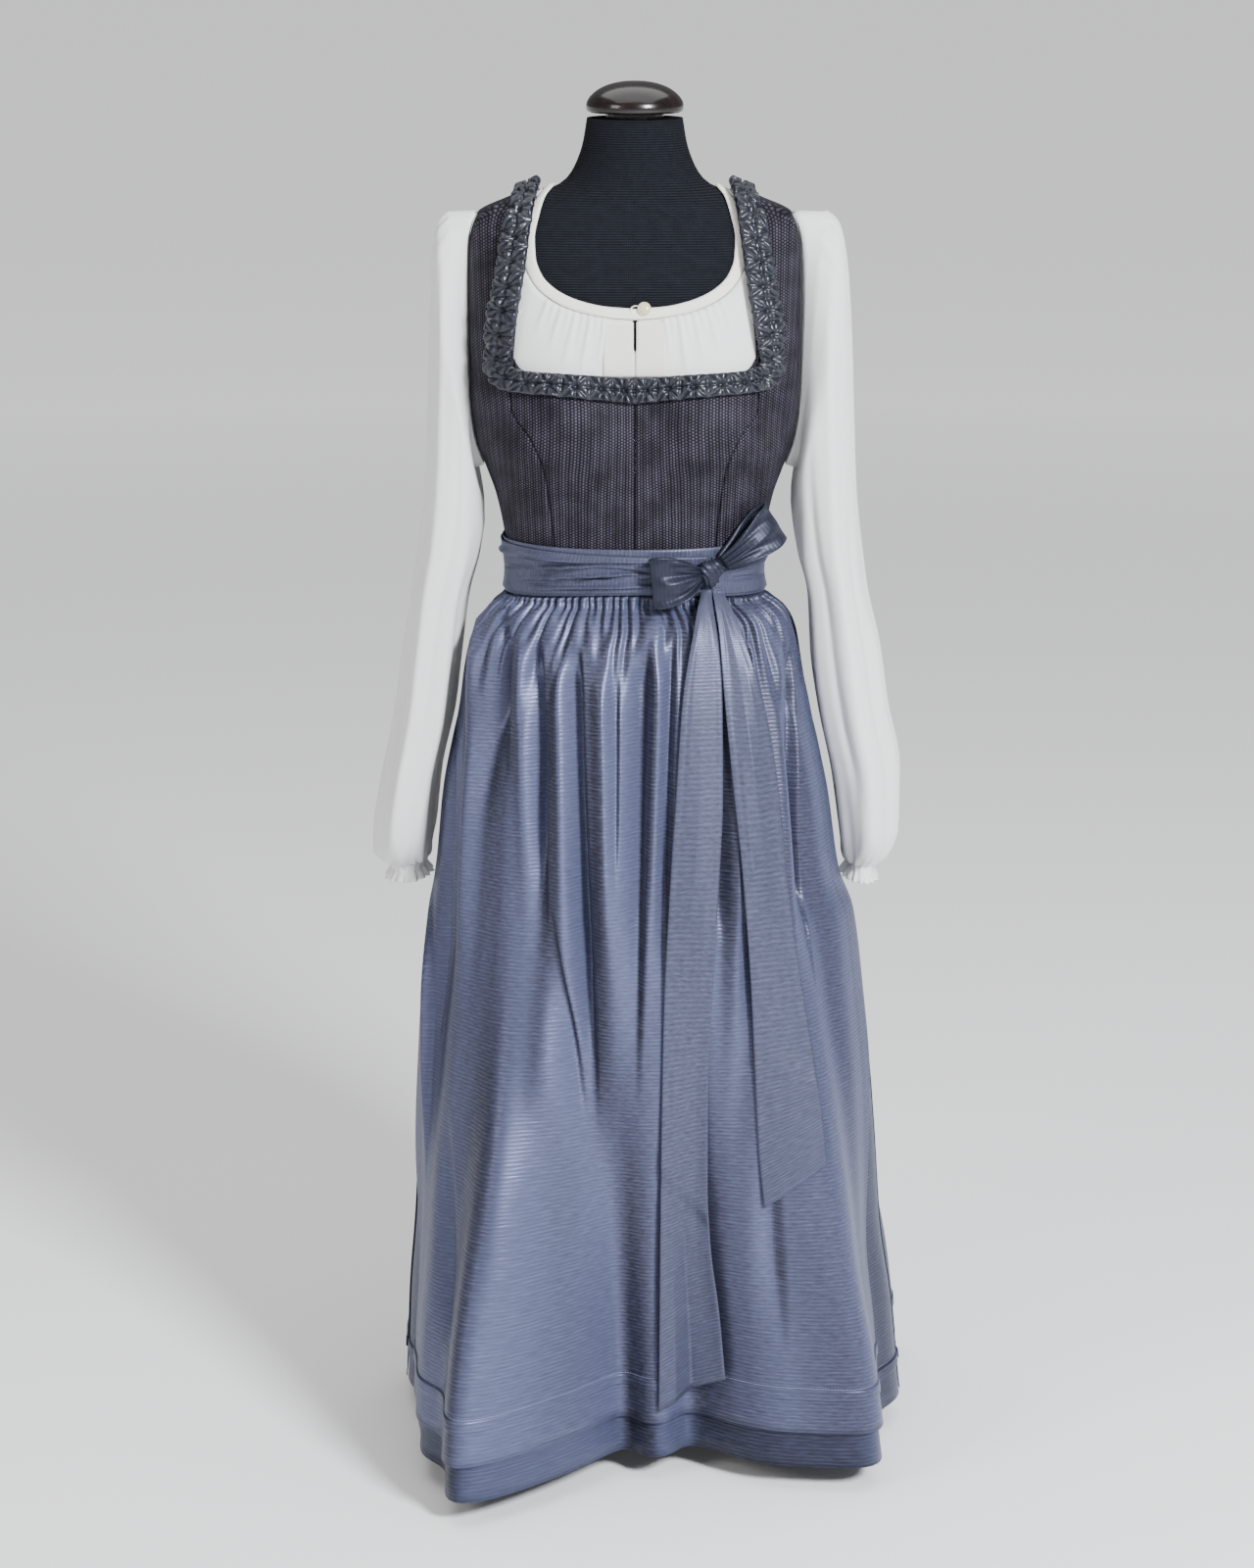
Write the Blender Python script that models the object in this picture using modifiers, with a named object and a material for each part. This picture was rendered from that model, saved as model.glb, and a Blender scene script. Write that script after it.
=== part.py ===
"""Dirndl on a limbless dress form: blouse, bodice, skirt and tied apron as thin walls. Metres, +Z up, front faces -Y."""

import math

import bpy
import bmesh
import numpy as np

NAME = "dirndl_on_dress_form"

# Cloth walls and how far each layer's underside stands off the form
EASE = 0.0030
BLOUSE_LIFT = 0.0028
BLOUSE_WALL = 0.0011
NECKBAND_LIFT = 0.0009
NECKBAND_WALL = 0.0029
BODICE_LIFT = 0.0064
BODICE_WALL = 0.0016
TRIM_LIFT = 0.0097
TRIM_WALL = 0.0012
TRIM_RISE = 0.0034
BAND_LIFT = 0.0092
BAND_WALL = 0.0013
WRAP_LIFT = 0.0117
SKIRT_WALL = 0.0015
APRON_WALL = 0.0014
SLEEVE_WALL = 0.0012
SEAM = 0.0004

# Heights
FORM_BOTTOM = 0.745
NECK_TOP = 1.411
HEM = 0.028
APRON_HEM = 0.066
WAIST_SEAM = 0.9350
MIDDLE_X = 0.003

# Bust of the form
BUST_X = 0.074
BUST_Z = 1.108
BUST_OUT = 0.022
BUST_WIDE = 0.052
BUST_TALL = 0.060

# A row per section of the form
FORM_COLUMNS = ("height", "half_width", "front", "back", "squareness")
FORM = (
    (0.740, 0.150, 0.104, 0.118, 2.2),
    (0.800, 0.155, 0.110, 0.128, 2.2),
    (0.872, 0.145, 0.104, 0.116, 2.2),
    (0.945, 0.1265, 0.096, 0.094, 2.2),
    (0.985, 0.1310, 0.100, 0.094, 2.2),
    (1.027, 0.1395, 0.107, 0.097, 2.3),
    (1.060, 0.1510, 0.112, 0.100, 2.4),
    (1.090, 0.1620, 0.115, 0.102, 2.6),
    (1.130, 0.1675, 0.114, 0.105, 2.7),
    (1.200, 0.1695, 0.108, 0.108, 2.7),
    (1.250, 0.1700, 0.096, 0.103, 2.7),
    (1.285, 0.1690, 0.082, 0.093, 2.7),
    (1.300, 0.1655, 0.076, 0.086, 2.7),
    (1.310, 0.1590, 0.072, 0.080, 2.6),
    (1.322, 0.1330, 0.067, 0.073, 2.5),
    (1.335, 0.1000, 0.062, 0.066, 2.3),
    (1.347, 0.0760, 0.058, 0.060, 2.1),
    (1.362, 0.0620, 0.054, 0.055, 2.0),
    (1.385, 0.0535, 0.051, 0.052, 2.0),
    (1.411, 0.0490, 0.049, 0.050, 2.0),
)

FORM_TURNS = 13

# Edge of the armhole, from the armpit to the shoulder tip, as seen from the front
ARMHOLE_COLUMNS = ("height", "share_of_half_width")
ARMHOLE = (
    (1.0600, 0.995),
    (1.0850, 0.985),
    (1.1200, 0.978),
    (1.1700, 0.975),
    (1.2100, 0.974),
    (1.2550, 0.974),
    (1.2800, 0.975),
    (1.2950, 0.977),
    (1.3020, 0.980),
    (1.3065, 0.985),
    (1.3090, 0.990),
    (1.3100, 0.995),
)

# Side front and side back: the inner edge beside each armhole row, and below them down to the waist
SIDE_COLUMNS = ("inner_x", "inner_height", "outer_height")
SIDE_BELOW = (
    (0.0785, 0.9354, 0.9354),
    (0.0800, 0.9620, 0.9600),
    (0.0820, 0.9906, 0.9880),
    (0.0860, 1.0300, 1.0250),
)
SIDE_ABOVE_COLUMNS = ("inner_x", "inner_height")
SIDE_ABOVE = (
    (0.0905, 1.0660),
    (0.1040, 1.1000),
    (0.1235, 1.1307),
    (0.1215, 1.1760),
    (0.1190, 1.2100),
    (0.1125, 1.2600),
    (0.1080, 1.2900),
    (0.1045, 1.3100),
    (0.1025, 1.3220),
    (0.1012, 1.3295),
    (0.1003, 1.3338),
    (0.1000, 1.3350),
)

# Neckline ruching: a row per point of the run, shoulder to centre, inner and outer edge
TRIM_COLUMNS = ("inner_x", "inner_height", "outer_x", "outer_height")
TRIM_FRONT = (
    (0.0950, 1.3370, 0.1215, 1.3268),
    (0.0990, 1.3250, 0.1275, 1.3130),
    (0.1035, 1.3050, 0.1325, 1.2950),
    (0.1105, 1.2500, 0.1395, 1.2450),
    (0.1190, 1.1950, 0.1460, 1.2000),
    (0.1225, 1.1730, 0.1455, 1.1620),
    (0.1120, 1.1650, 0.1280, 1.1440),
    (0.0700, 1.1610, 0.0720, 1.1385),
    (0.0000, 1.1590, 0.0000, 1.1330),
)
TRIM_BACK = (
    (0.0950, 1.3370, 0.1215, 1.3268),
    (0.0985, 1.3250, 0.1270, 1.3130),
    (0.1010, 1.3050, 0.1300, 1.2970),
    (0.1015, 1.2880, 0.1310, 1.2750),
    (0.0980, 1.2700, 0.1260, 1.2500),
    (0.0880, 1.2620, 0.1060, 1.2380),
    (0.0560, 1.2590, 0.0580, 1.2325),
    (0.0000, 1.2580, 0.0000, 1.2310),
)
TRIM_UNITS_FRONT = 15
TRIM_UNITS_BACK = 9

# Bias neckband of the blouse: a row per point, shoulder to centre
BAND_COLUMNS = ("inner_x", "inner_height", "outer_x", "outer_height")
NECK_FRONT = (
    (0.0840, 1.3425, 0.0960, 1.3365),
    (0.0925, 1.3330, 0.1040, 1.3270),
    (0.0985, 1.3150, 0.1100, 1.3110),
    (0.1025, 1.2950, 0.1140, 1.2930),
    (0.1015, 1.2760, 0.1130, 1.2700),
    (0.0950, 1.2590, 0.1050, 1.2520),
    (0.0800, 1.2450, 0.0860, 1.2345),
    (0.0560, 1.2345, 0.0590, 1.2230),
    (0.0290, 1.2290, 0.0300, 1.2175),
    (0.0000, 1.2270, 0.0000, 1.2155),
)
NECK_BACK = (
    (0.0840, 1.3425, 0.0960, 1.3365),
    (0.0910, 1.3330, 0.1025, 1.3270),
    (0.0940, 1.3180, 0.1060, 1.3140),
    (0.0900, 1.3010, 0.1010, 1.2940),
    (0.0760, 1.2880, 0.0830, 1.2780),
    (0.0500, 1.2800, 0.0530, 1.2685),
    (0.0250, 1.2765, 0.0260, 1.2650),
    (0.0000, 1.2755, 0.0000, 1.2640),
)

# Where the blouse ends under the bodice: a row per point, shoulder tip to centre
BLOUSE_COLUMNS = ("x", "height")
BLOUSE_OUTER = (
    (0.1590, 1.3100),
    (0.1600, 1.3090),
    (0.1610, 1.3065),
    (0.1620, 1.3020),
    (0.1640, 1.2850),
    (0.1650, 1.2550),
    (0.1650, 1.2100),
    (0.1640, 1.1500),
    (0.1580, 1.0850),
    (0.1500, 1.0600),
    (0.1280, 1.0600),
    (0.1030, 1.0600),
    (0.0780, 1.0600),
    (0.0520, 1.0600),
    (0.0260, 1.0600),
    (0.0000, 1.0600),
)
BLOUSE_GATHERS = 8

# Sleeves: a row per ring, inner point, outer point, half depth and where its middle lies
SLEEVE_COLUMNS = ("inner_x", "inner_height", "outer_x", "outer_height", "half_depth", "middle_y")
SLEEVE_LEFT_OF_PICTURE = (
    (0.1680, 1.0520, 0.1900, 1.3150, 0.054, 0.000),
    (0.1640, 1.0380, 0.2020, 1.3020, 0.061, 0.000),
    (0.1600, 1.0260, 0.2080, 1.2650, 0.066, 0.000),
    (0.1580, 1.0150, 0.2110, 1.2100, 0.068, 0.002),
    (0.1580, 0.9950, 0.2175, 1.0500, 0.066, 0.006),
    (0.1650, 0.9600, 0.2230, 0.9850, 0.065, 0.010),
    (0.1780, 0.9150, 0.2320, 0.9250, 0.064, 0.014),
    (0.1870, 0.8500, 0.2410, 0.8600, 0.066, 0.020),
    (0.1945, 0.7900, 0.2500, 0.7950, 0.070, 0.024),
    (0.2100, 0.7200, 0.2640, 0.7250, 0.074, 0.028),
    (0.2160, 0.6650, 0.2740, 0.6680, 0.070, 0.030),
    (0.2190, 0.6380, 0.2760, 0.6350, 0.056, 0.032),
    (0.2230, 0.6270, 0.2620, 0.6220, 0.040, 0.034),
)
SLEEVE_RIGHT_OF_PICTURE = (
    (0.1690, 1.0520, 0.1940, 1.3150, 0.054, 0.000),
    (0.1660, 1.0380, 0.2090, 1.3020, 0.061, 0.000),
    (0.1640, 1.0260, 0.2180, 1.2650, 0.066, 0.000),
    (0.1640, 1.0150, 0.2225, 1.2100, 0.068, 0.002),
    (0.1660, 0.9950, 0.2295, 1.0500, 0.066, 0.006),
    (0.1720, 0.9600, 0.2330, 0.9850, 0.065, 0.010),
    (0.1830, 0.9150, 0.2400, 0.9250, 0.064, 0.014),
    (0.1870, 0.8500, 0.2550, 0.8600, 0.066, 0.020),
    (0.1960, 0.7900, 0.2650, 0.7950, 0.070, 0.024),
    (0.2110, 0.7200, 0.2790, 0.7250, 0.075, 0.028),
    (0.2190, 0.6650, 0.2790, 0.6680, 0.072, 0.030),
    (0.2230, 0.6380, 0.2680, 0.6350, 0.056, 0.032),
    (0.2270, 0.6260, 0.2560, 0.6210, 0.040, 0.034),
)
SLEEVE_STEPS = 18
CUFF_DROP = 0.018

# Skirt: a row per section of its outer face, waist to hem
SKIRT_COLUMNS = ("height", "middle_x", "half_width", "front", "back")
SKIRT = (
    (0.028, 0.020, 0.2780, 0.270, 0.290),
    (0.137, 0.017, 0.2700, 0.252, 0.272),
    (0.228, 0.014, 0.2590, 0.240, 0.256),
    (0.318, 0.013, 0.2530, 0.229, 0.243),
    (0.407, 0.012, 0.2460, 0.218, 0.231),
    (0.496, 0.009, 0.2360, 0.206, 0.218),
    (0.583, 0.008, 0.2240, 0.193, 0.206),
    (0.626, 0.003, 0.2130, 0.187, 0.199),
    (0.712, 0.001, 0.2020, 0.174, 0.186),
    (0.797, 0.000, 0.1840, 0.160, 0.172),
    (0.840, -0.001, 0.1760, 0.151, 0.163),
    (0.882, 0.000, 0.1660, 0.139, 0.150),
    (0.902, 0.002, 0.1560, 0.127, 0.135),
    (0.914, 0.001, 0.1440, 0.114, 0.118),
    (0.922, 0.000, 0.1325, 0.1020, 0.1030),
    (0.935, 0.000, 0.1310, 0.1000, 0.0985),
)

# Large folds: degrees round from the centre front (plus is the picture's right), how far it stands out at its fullest
FOLD_COLUMNS = ("angle_top", "angle_hem", "half_width", "reach", "starts", "fullest", "ends")
FOLDS = (
    (-37.0, -33.0, 8.5, 0.100, 0.60, 0.03, -0.50),
    (-54.0, -50.0, 10.0, 0.036, 0.60, 0.03, -0.50),
    (-8.0, -10.0, 10.0, -0.085, 0.64, 0.03, -0.50),
    (9.0, 13.0, 14.0, -0.100, 0.66, 0.03, -0.50),
    (42.0, 47.0, 9.0, 0.045, 0.60, 0.03, -0.50),
    (70.0, 72.0, 10.0, -0.018, 0.62, 0.03, -0.50),
    (-78.0, -82.0, 10.0, -0.020, 0.60, 0.03, -0.50),
    (-15.0, -17.0, 5.5, -0.020, 0.80, 0.50, 0.28),
    (-34.0, -26.0, 5.5, -0.012, 0.90, 0.68, 0.30),
    (-51.0, -52.0, 5.0, -0.010, 0.93, 0.82, 0.66),
    (5.0, 4.0, 6.0, -0.011, 0.90, 0.70, 0.42),
    (24.0, 26.0, 6.0, -0.012, 0.91, 0.62, 0.25),
    (56.0, 58.0, 6.0, -0.012, 0.91, 0.66, 0.20),
    (-66.0, -64.0, 6.0, -0.012, 0.88, 0.60, 0.20),
    (104.0, 104.0, 9.0, -0.022, 0.90, 0.03, -0.50),
    (126.0, 127.0, 13.0, 0.062, 0.80, 0.03, -0.50),
    (149.0, 150.0, 9.0, -0.020, 0.90, 0.03, -0.50),
    (168.0, 167.0, 10.0, 0.018, 0.90, 0.03, -0.50),
    (187.0, 188.0, 8.0, -0.022, 0.90, 0.03, -0.50),
    (207.0, 206.0, 11.0, 0.024, 0.90, 0.03, -0.50),
    (228.0, 229.0, 8.0, -0.020, 0.90, 0.03, -0.50),
    (246.0, 247.0, 10.0, 0.016, 0.90, 0.03, -0.50),
)
GATHER_COLUMNS = ("height", "reach")
GATHERS = (
    (0.60, 0.0000),
    (0.72, 0.0004),
    (0.80, 0.0009),
    (0.86, 0.0016),
    (0.90, 0.0023),
    (0.914, 0.0018),
    (0.925, 0.0009),
    (0.935, 0.0006),
)
SKIRT_ROWS = (0.9205, 0.911, 0.885, 0.830, 0.745, 0.630, 0.490, 0.340, 0.190)
FINE_ROWS = 3
FRONT_EDGE = -97.0
BACK_EDGE = 263.0
COARSE_STEP = 5.5
APRON_FIRST = 1
APRON_LAST = 33

# Sash: lower and upper edge of the apron's band
BAND_LOW_FRONT = 0.9340
BAND_LOW_SIDE = 0.9225
BAND_HIGH = 0.9840
WRAP_LOW = 0.0030
WRAP_HIGH = 0.9770
WRAP_END = 35.0
BAND_STEPS = 40

# Knot, bow loops
KNOT_X = 0.0705
KNOT_Z = 0.9585
KNOT_WIDE = 0.013
KNOT_TALL = 0.0145
KNOT_DEEP = 0.008
KNOT_OFF = 0.0225
LOOP_COLUMNS = ("along", "half_height", "puff")
LOOP_LEFT = (
    (0.010, 0.008, 0.003),
    (0.022, 0.015, 0.008),
    (0.038, 0.022, 0.010),
    (0.052, 0.025, 0.008),
    (0.062, 0.026, 0.003),
)
LOOP_RIGHT = (
    (0.010, 0.008, 0.003),
    (0.030, 0.013, 0.008),
    (0.052, 0.019, 0.010),
    (0.070, 0.023, 0.008),
    (0.080, 0.023, 0.003),
)
LOOP_LEFT_START = 0.0124
LOOP_RIGHT_START = 0.0156
LOOP_LEFT_TURN = 187.0
LOOP_RIGHT_TURN = 34.0

# Tie ends: a row per height, left and right edge as seen from the front
TAIL_COLUMNS = ("left_height", "left_x", "right_height", "right_x")
TAIL_LONG = (
    (0.9412, 0.0690, 0.9412, 0.0780),
    (0.9250, 0.0640, 0.9250, 0.0800),
    (0.9000, 0.0590, 0.9000, 0.0840),
    (0.8400, 0.0490, 0.8400, 0.0890),
    (0.7400, 0.0420, 0.7400, 0.0900),
    (0.6300, 0.0350, 0.6300, 0.0850),
    (0.5200, 0.0300, 0.5200, 0.0790),
    (0.4100, 0.0280, 0.4200, 0.0755),
    (0.3200, 0.0270, 0.3300, 0.0755),
    (0.2400, 0.0265, 0.2600, 0.0790),
    (0.1600, 0.0260, 0.1900, 0.0880),
    (0.0800, 0.0255, 0.1150, 0.0950),
)
TAIL_SHORT = (
    (0.9412, 0.0790, 0.9412, 0.0880),
    (0.9250, 0.0820, 0.9250, 0.0980),
    (0.9000, 0.0860, 0.9000, 0.1090),
    (0.8500, 0.0900, 0.8500, 0.1260),
    (0.7600, 0.0990, 0.7600, 0.1450),
    (0.6500, 0.1110, 0.6500, 0.1570),
    (0.5500, 0.1190, 0.5500, 0.1710),
    (0.4500, 0.1240, 0.4600, 0.1860),
    (0.3700, 0.1280, 0.4000, 0.1950),
    (0.3050, 0.1340, 0.3500, 0.2000),
)
TAIL_OFF = 0.0032
TAIL_WALL = 0.0012

# Stand
POLE_RADIUS = 0.0125
FOOT_RADIUS = 0.132
FOOT_BACK = 0.060
FOOT_THICK = 0.010
CAP_COLUMNS = ("radius", "height")
CAP = (
    (0.0000, 1.4480),
    (0.0180, 1.4465),
    (0.0340, 1.4410),
    (0.0450, 1.4320),
    (0.0495, 1.4240),
    (0.0480, 1.4180),
    (0.0440, 1.4160),
    (0.0000, 1.4160),
)


def clear_scene():
    for thing in list(bpy.data.objects):
        bpy.data.objects.remove(thing, do_unlink=True)
    for group in list(bpy.data.collections):
        bpy.data.collections.remove(group)


def smooth(xs, ys):
    """A curve through the rows of a table that never overshoots them."""
    xs = np.asarray(xs, float)
    ys = np.asarray(ys, float)
    step = np.diff(xs)
    slope = np.diff(ys) / step
    tangent = np.empty(len(xs))
    tangent[0] = slope[0]
    tangent[-1] = slope[-1]
    same = slope[:-1] * slope[1:] > 0
    middle = np.zeros(len(xs) - 2)
    middle[same] = 2 * slope[:-1][same] * slope[1:][same] / (slope[:-1][same] + slope[1:][same])
    tangent[1:-1] = middle

    def at(x):
        x = np.clip(np.asarray(x, float), xs[0], xs[-1])
        i = np.clip(np.searchsorted(xs, x) - 1, 0, len(xs) - 2)
        t = (x - xs[i]) / step[i]
        rise = ys[i] * (2 * t**3 - 3 * t**2 + 1) + ys[i + 1] * (3 * t**2 - 2 * t**3)
        return rise + step[i] * (tangent[i] * (t**3 - 2 * t**2 + t) + tangent[i + 1] * (t**3 - t**2))

    return at


def by_first(columns, rows):
    """Each further column of a table as a smooth function of its first."""
    table = np.array(sorted(rows))
    return {name: smooth(table[:, 0], table[:, k]) for k, name in enumerate(columns) if k}


def by_row(columns, rows):
    """Each column of a table as a smooth function of the row number, 0 to 1."""
    table = np.array(rows)
    along = np.linspace(0, 1, len(rows))
    return {name: smooth(along, table[:, k]) for k, name in enumerate(columns)}


form = by_first(FORM_COLUMNS, [(z, w - EASE * (z < 1.35), f - EASE, b - EASE, n) for z, w, f, b, n in FORM])
skirt = by_first(SKIRT_COLUMNS, SKIRT)
gather = by_first(GATHER_COLUMNS, GATHERS)
armhole = by_first(ARMHOLE_COLUMNS, ARMHOLE)


def armhole_x(z):
    """Half width of the body at the armhole's edge."""
    return armhole["share_of_half_width"](z) * (form["half_width"](z) + EASE)


def half_depth(x, z, side):
    """Depth of the form's section at its middle, with the bust on the front."""
    if side > 0:
        return form["back"](z)
    bump = np.exp(-(((x - BUST_X) / BUST_WIDE) ** 2)) + np.exp(-(((x + BUST_X) / BUST_WIDE) ** 2))
    return form["front"](z) + BUST_OUT * bump * np.exp(-(((z - BUST_Z) / BUST_TALL) ** 2))


def swell(p, side):
    n = form["squareness"](p[..., 2])
    wide = np.abs(p[..., 0]) / form["half_width"](p[..., 2])
    deep = np.abs(p[..., 1]) / half_depth(p[..., 0], p[..., 2], side)
    return wide**n + deep**n


def outward(p, side):
    """Unit normal of the form's face at a point on it."""
    lean = np.zeros_like(p)
    for axis in range(3):
        move = np.zeros(3)
        move[axis] = 0.0004
        lean[..., axis] = swell(p + move, side) - swell(p - move, side)
    return lean / np.linalg.norm(lean, axis=-1, keepdims=True)


def on_form(turn, z, side, lift=0.0):
    """Point on the form: turn is -90..90 degrees from the middle, side -1 the front and +1 the back."""
    turn = np.radians(np.clip(turn, -90, 90))
    z = np.asarray(z, float) + 0 * turn
    n = form["squareness"](z)
    part = np.abs(np.sin(turn))
    x = form["half_width"](z) * part * np.sign(np.sin(turn))
    y = side * half_depth(x, z, side) * np.maximum(1 - part**n, 0) ** (1 / n)
    p = np.stack([x, y, z], axis=-1)
    return p + outward(p, side) * np.asarray(lift)[..., None] if np.ndim(lift) else p + outward(p, side) * lift


def turn_of(x, z):
    """How far round from the middle the form's face is at this x and height."""
    return np.degrees(np.arcsin(np.clip(x / (form["half_width"](z) + EASE), -1, 1)))


def material(name, colour, rough, metal=0.0):
    made = bpy.data.materials.new(name)
    made.use_nodes = True
    shader = made.node_tree.nodes["Principled BSDF"]
    shader.inputs["Base Color"].default_value = (*colour, 1)
    shader.inputs["Roughness"].default_value = rough
    shader.inputs["Metallic"].default_value = metal
    return made


def place(name, mesh, made):
    mesh.materials.append(made)
    thing = bpy.data.objects.new(name, mesh)
    bpy.data.collections[NAME].objects.link(thing)
    for face in mesh.polygons:
        face.use_smooth = True
    return thing


def strip_faces(above, below, closed):
    """Faces between two rows of vertices; the lower row may have half as many steps as the upper."""
    faces = []
    steps_above = len(above) - (0 if closed else 1)
    steps_below = len(below) - (0 if closed else 1)
    for i in range(steps_below):
        a = below[i]
        b = below[(i + 1) % len(below)]
        if steps_above == steps_below:
            faces.append((a, b, above[(i + 1) % len(above)], above[i]))
            continue
        left = above[2 * i]
        middle = above[2 * i + 1]
        right = above[(2 * i + 2) % len(above)]
        faces.append((a, b, middle))
        faces.append((a, middle, left))
        faces.append((b, right, middle))
    return faces


def shell(name, outer, inner, made, closed=False):
    """One closed thin solid between two skins, each a list of rows of points."""
    points = []
    skins = []
    for skin in (outer, inner):
        rows = []
        for row in skin:
            rows.append(list(range(len(points), len(points) + len(row))))
            points.extend([tuple(float(v) for v in p) for p in row])
        skins.append(rows)
    faces = []
    for rows in skins:
        for above, below in zip(rows[:-1], rows[1:]):
            faces += strip_faces(above, below, closed)
    for which in (0, -1):
        faces += strip_faces(skins[0][which], skins[1][which], closed)
    if not closed:
        for end in (0, -1):
            faces += strip_faces([row[end] for row in skins[0]], [row[end] for row in skins[1]], False)
    mesh = bpy.data.meshes.new(name)
    mesh.from_pydata(points, [], faces)
    work = bmesh.new()
    work.from_mesh(mesh)
    bmesh.ops.remove_doubles(work, verts=work.verts, dist=1e-7)
    bmesh.ops.recalc_face_normals(work, faces=work.faces)
    work.to_mesh(mesh)
    work.free()
    mesh.validate()
    return place(name, mesh, made)


def between(first, last, steps):
    """Rows of numbers that run from one edge to the other."""
    share = np.linspace(0, 1, steps + 1)
    return np.asarray(first)[:, None] * (1 - share) + np.asarray(last)[:, None] * share


def panel(name, first, last, steps, side, lift, wall, made, sign=1, seam_first=0.0, seam_last=0.0, rise=None):
    """Cloth between two edges on the form; an edge is (x, height) arrays, one entry per row."""
    turns = between(turn_of(first[0], first[1]), turn_of(last[0], last[1]), steps)
    heights = between(first[1], last[1], steps)
    base = on_form(turns, heights, side)
    long = np.linalg.norm(np.diff(base, axis=1), axis=2).sum(axis=1)
    start = seam_first / long
    stop = 1 - seam_last / long * (turns[:, -1] < 89.5)
    share = between(start, stop, steps)
    turns = turns[:, :1] + (turns[:, -1:] - turns[:, :1]) * share
    heights = heights[:, :1] + (heights[:, -1:] - heights[:, :1]) * share
    base = on_form(turns, heights, side)
    at_side = np.abs(turns) > 89.5
    base[..., 1] += np.where(at_side, side * SEAM / 2, 0)
    base[..., 0] *= sign
    out = outward(base, side)
    inner = base + out * lift
    more = wall if rise is None else wall + rise[..., None]
    outer = base + out * (lift + more)
    return shell(name, outer, inner, made)


def side_rows():
    """Inner and outer edge of a side panel, waist to shoulder."""
    below = np.array(SIDE_BELOW)
    above = np.array(SIDE_ABOVE)
    hole = np.array(ARMHOLE)
    inner_x = np.concatenate([below[:, 0], above[:, 0]])
    inner_z = np.concatenate([below[:, 1], above[:, 1]])
    outer_x = np.concatenate([np.full(len(below), 1.0), armhole_x(hole[:, 0])])
    outer_z = np.concatenate([below[:, 2], hole[:, 0]])
    outer_x[len(below)] = 1.0
    outer_x[-1] = 1.0
    return finer(inner_x, inner_z), finer(outer_x, outer_z)


def finer(x, z, steps=1):
    along = np.arange(len(x))
    dense = np.linspace(0, len(x) - 1, (len(x) - 1) * steps + 1)
    return smooth(along, x)(dense), smooth(along, z)(dense)


def build_form(made):
    heights = np.array([row[0] for row in FORM if row[0] >= FORM_BOTTOM + 0.004])
    heights = np.concatenate([[FORM_BOTTOM], heights])
    turns = np.linspace(-90, 90, FORM_TURNS)
    rings = []
    for z in heights[::-1]:
        under = float(np.interp(z, [1.15, 1.25, 1.30, 1.34], [-0.0090, -0.0010, -0.0003, 0.0]))
        front = on_form(turns, np.full(FORM_TURNS, z), -1, under)
        back = on_form(turns[::-1], np.full(FORM_TURNS, z), 1, under)
        ring = np.concatenate([front, back[1:-1]])
        if z <= FORM_BOTTOM or z >= NECK_TOP:
            ring[:, 2] = z
        rings.append(ring)
    points = [tuple(float(v) for v in p) for ring in rings for p in ring]
    count = len(rings[0])
    rows = [list(range(k * count, (k + 1) * count)) for k in range(len(rings))]
    faces = []
    for above, below in zip(rows[:-1], rows[1:]):
        faces += strip_faces(above, below, True)
    faces.append(tuple(rows[0]))
    faces.append(tuple(reversed(rows[-1])))
    mesh = bpy.data.meshes.new("form_torso")
    mesh.from_pydata(points, [], faces)
    work = bmesh.new()
    work.from_mesh(mesh)
    bmesh.ops.recalc_face_normals(work, faces=work.faces)
    work.to_mesh(mesh)
    work.free()
    place("form_torso", mesh, made)


def turned(name, rows, made, steps=40, back=0.0):
    """A turned piece from its profile, one Screw turn."""
    mesh = bpy.data.meshes.new(name)
    points = [(r, 0, z) for r, z in rows]
    mesh.from_pydata(points, [(k, k + 1) for k in range(len(points) - 1)], [])
    thing = place(name, mesh, made)
    thing.location.y = back
    screw = thing.modifiers.new("turn", "SCREW")
    screw.steps = steps
    screw.render_steps = steps
    screw.use_merge_vertices = True
    screw.merge_threshold = 0.00001
    return thing


def build_stand(jersey, wood, steel):
    build_form(jersey)
    turned("form_cap", CAP, wood, 24)
    turned("form_pole", ((0.0, FORM_BOTTOM - 0.0003), (POLE_RADIUS, FORM_BOTTOM - 0.0003),
                         (POLE_RADIUS, FOOT_THICK + 0.0003), (0.0, FOOT_THICK + 0.0003)), steel, 16)
    turned("form_neck_plate", ((0.0, 1.4157), (0.030, 1.4157), (0.030, 1.4113), (0.0, 1.4113)), wood, 16)
    turned("form_foot", ((0.0, FOOT_THICK), (FOOT_RADIUS - 0.003, FOOT_THICK), (FOOT_RADIUS, FOOT_THICK - 0.003),
                         (FOOT_RADIUS, 0.0), (0.0, 0.0)), steel, 32, FOOT_BACK)


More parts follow.
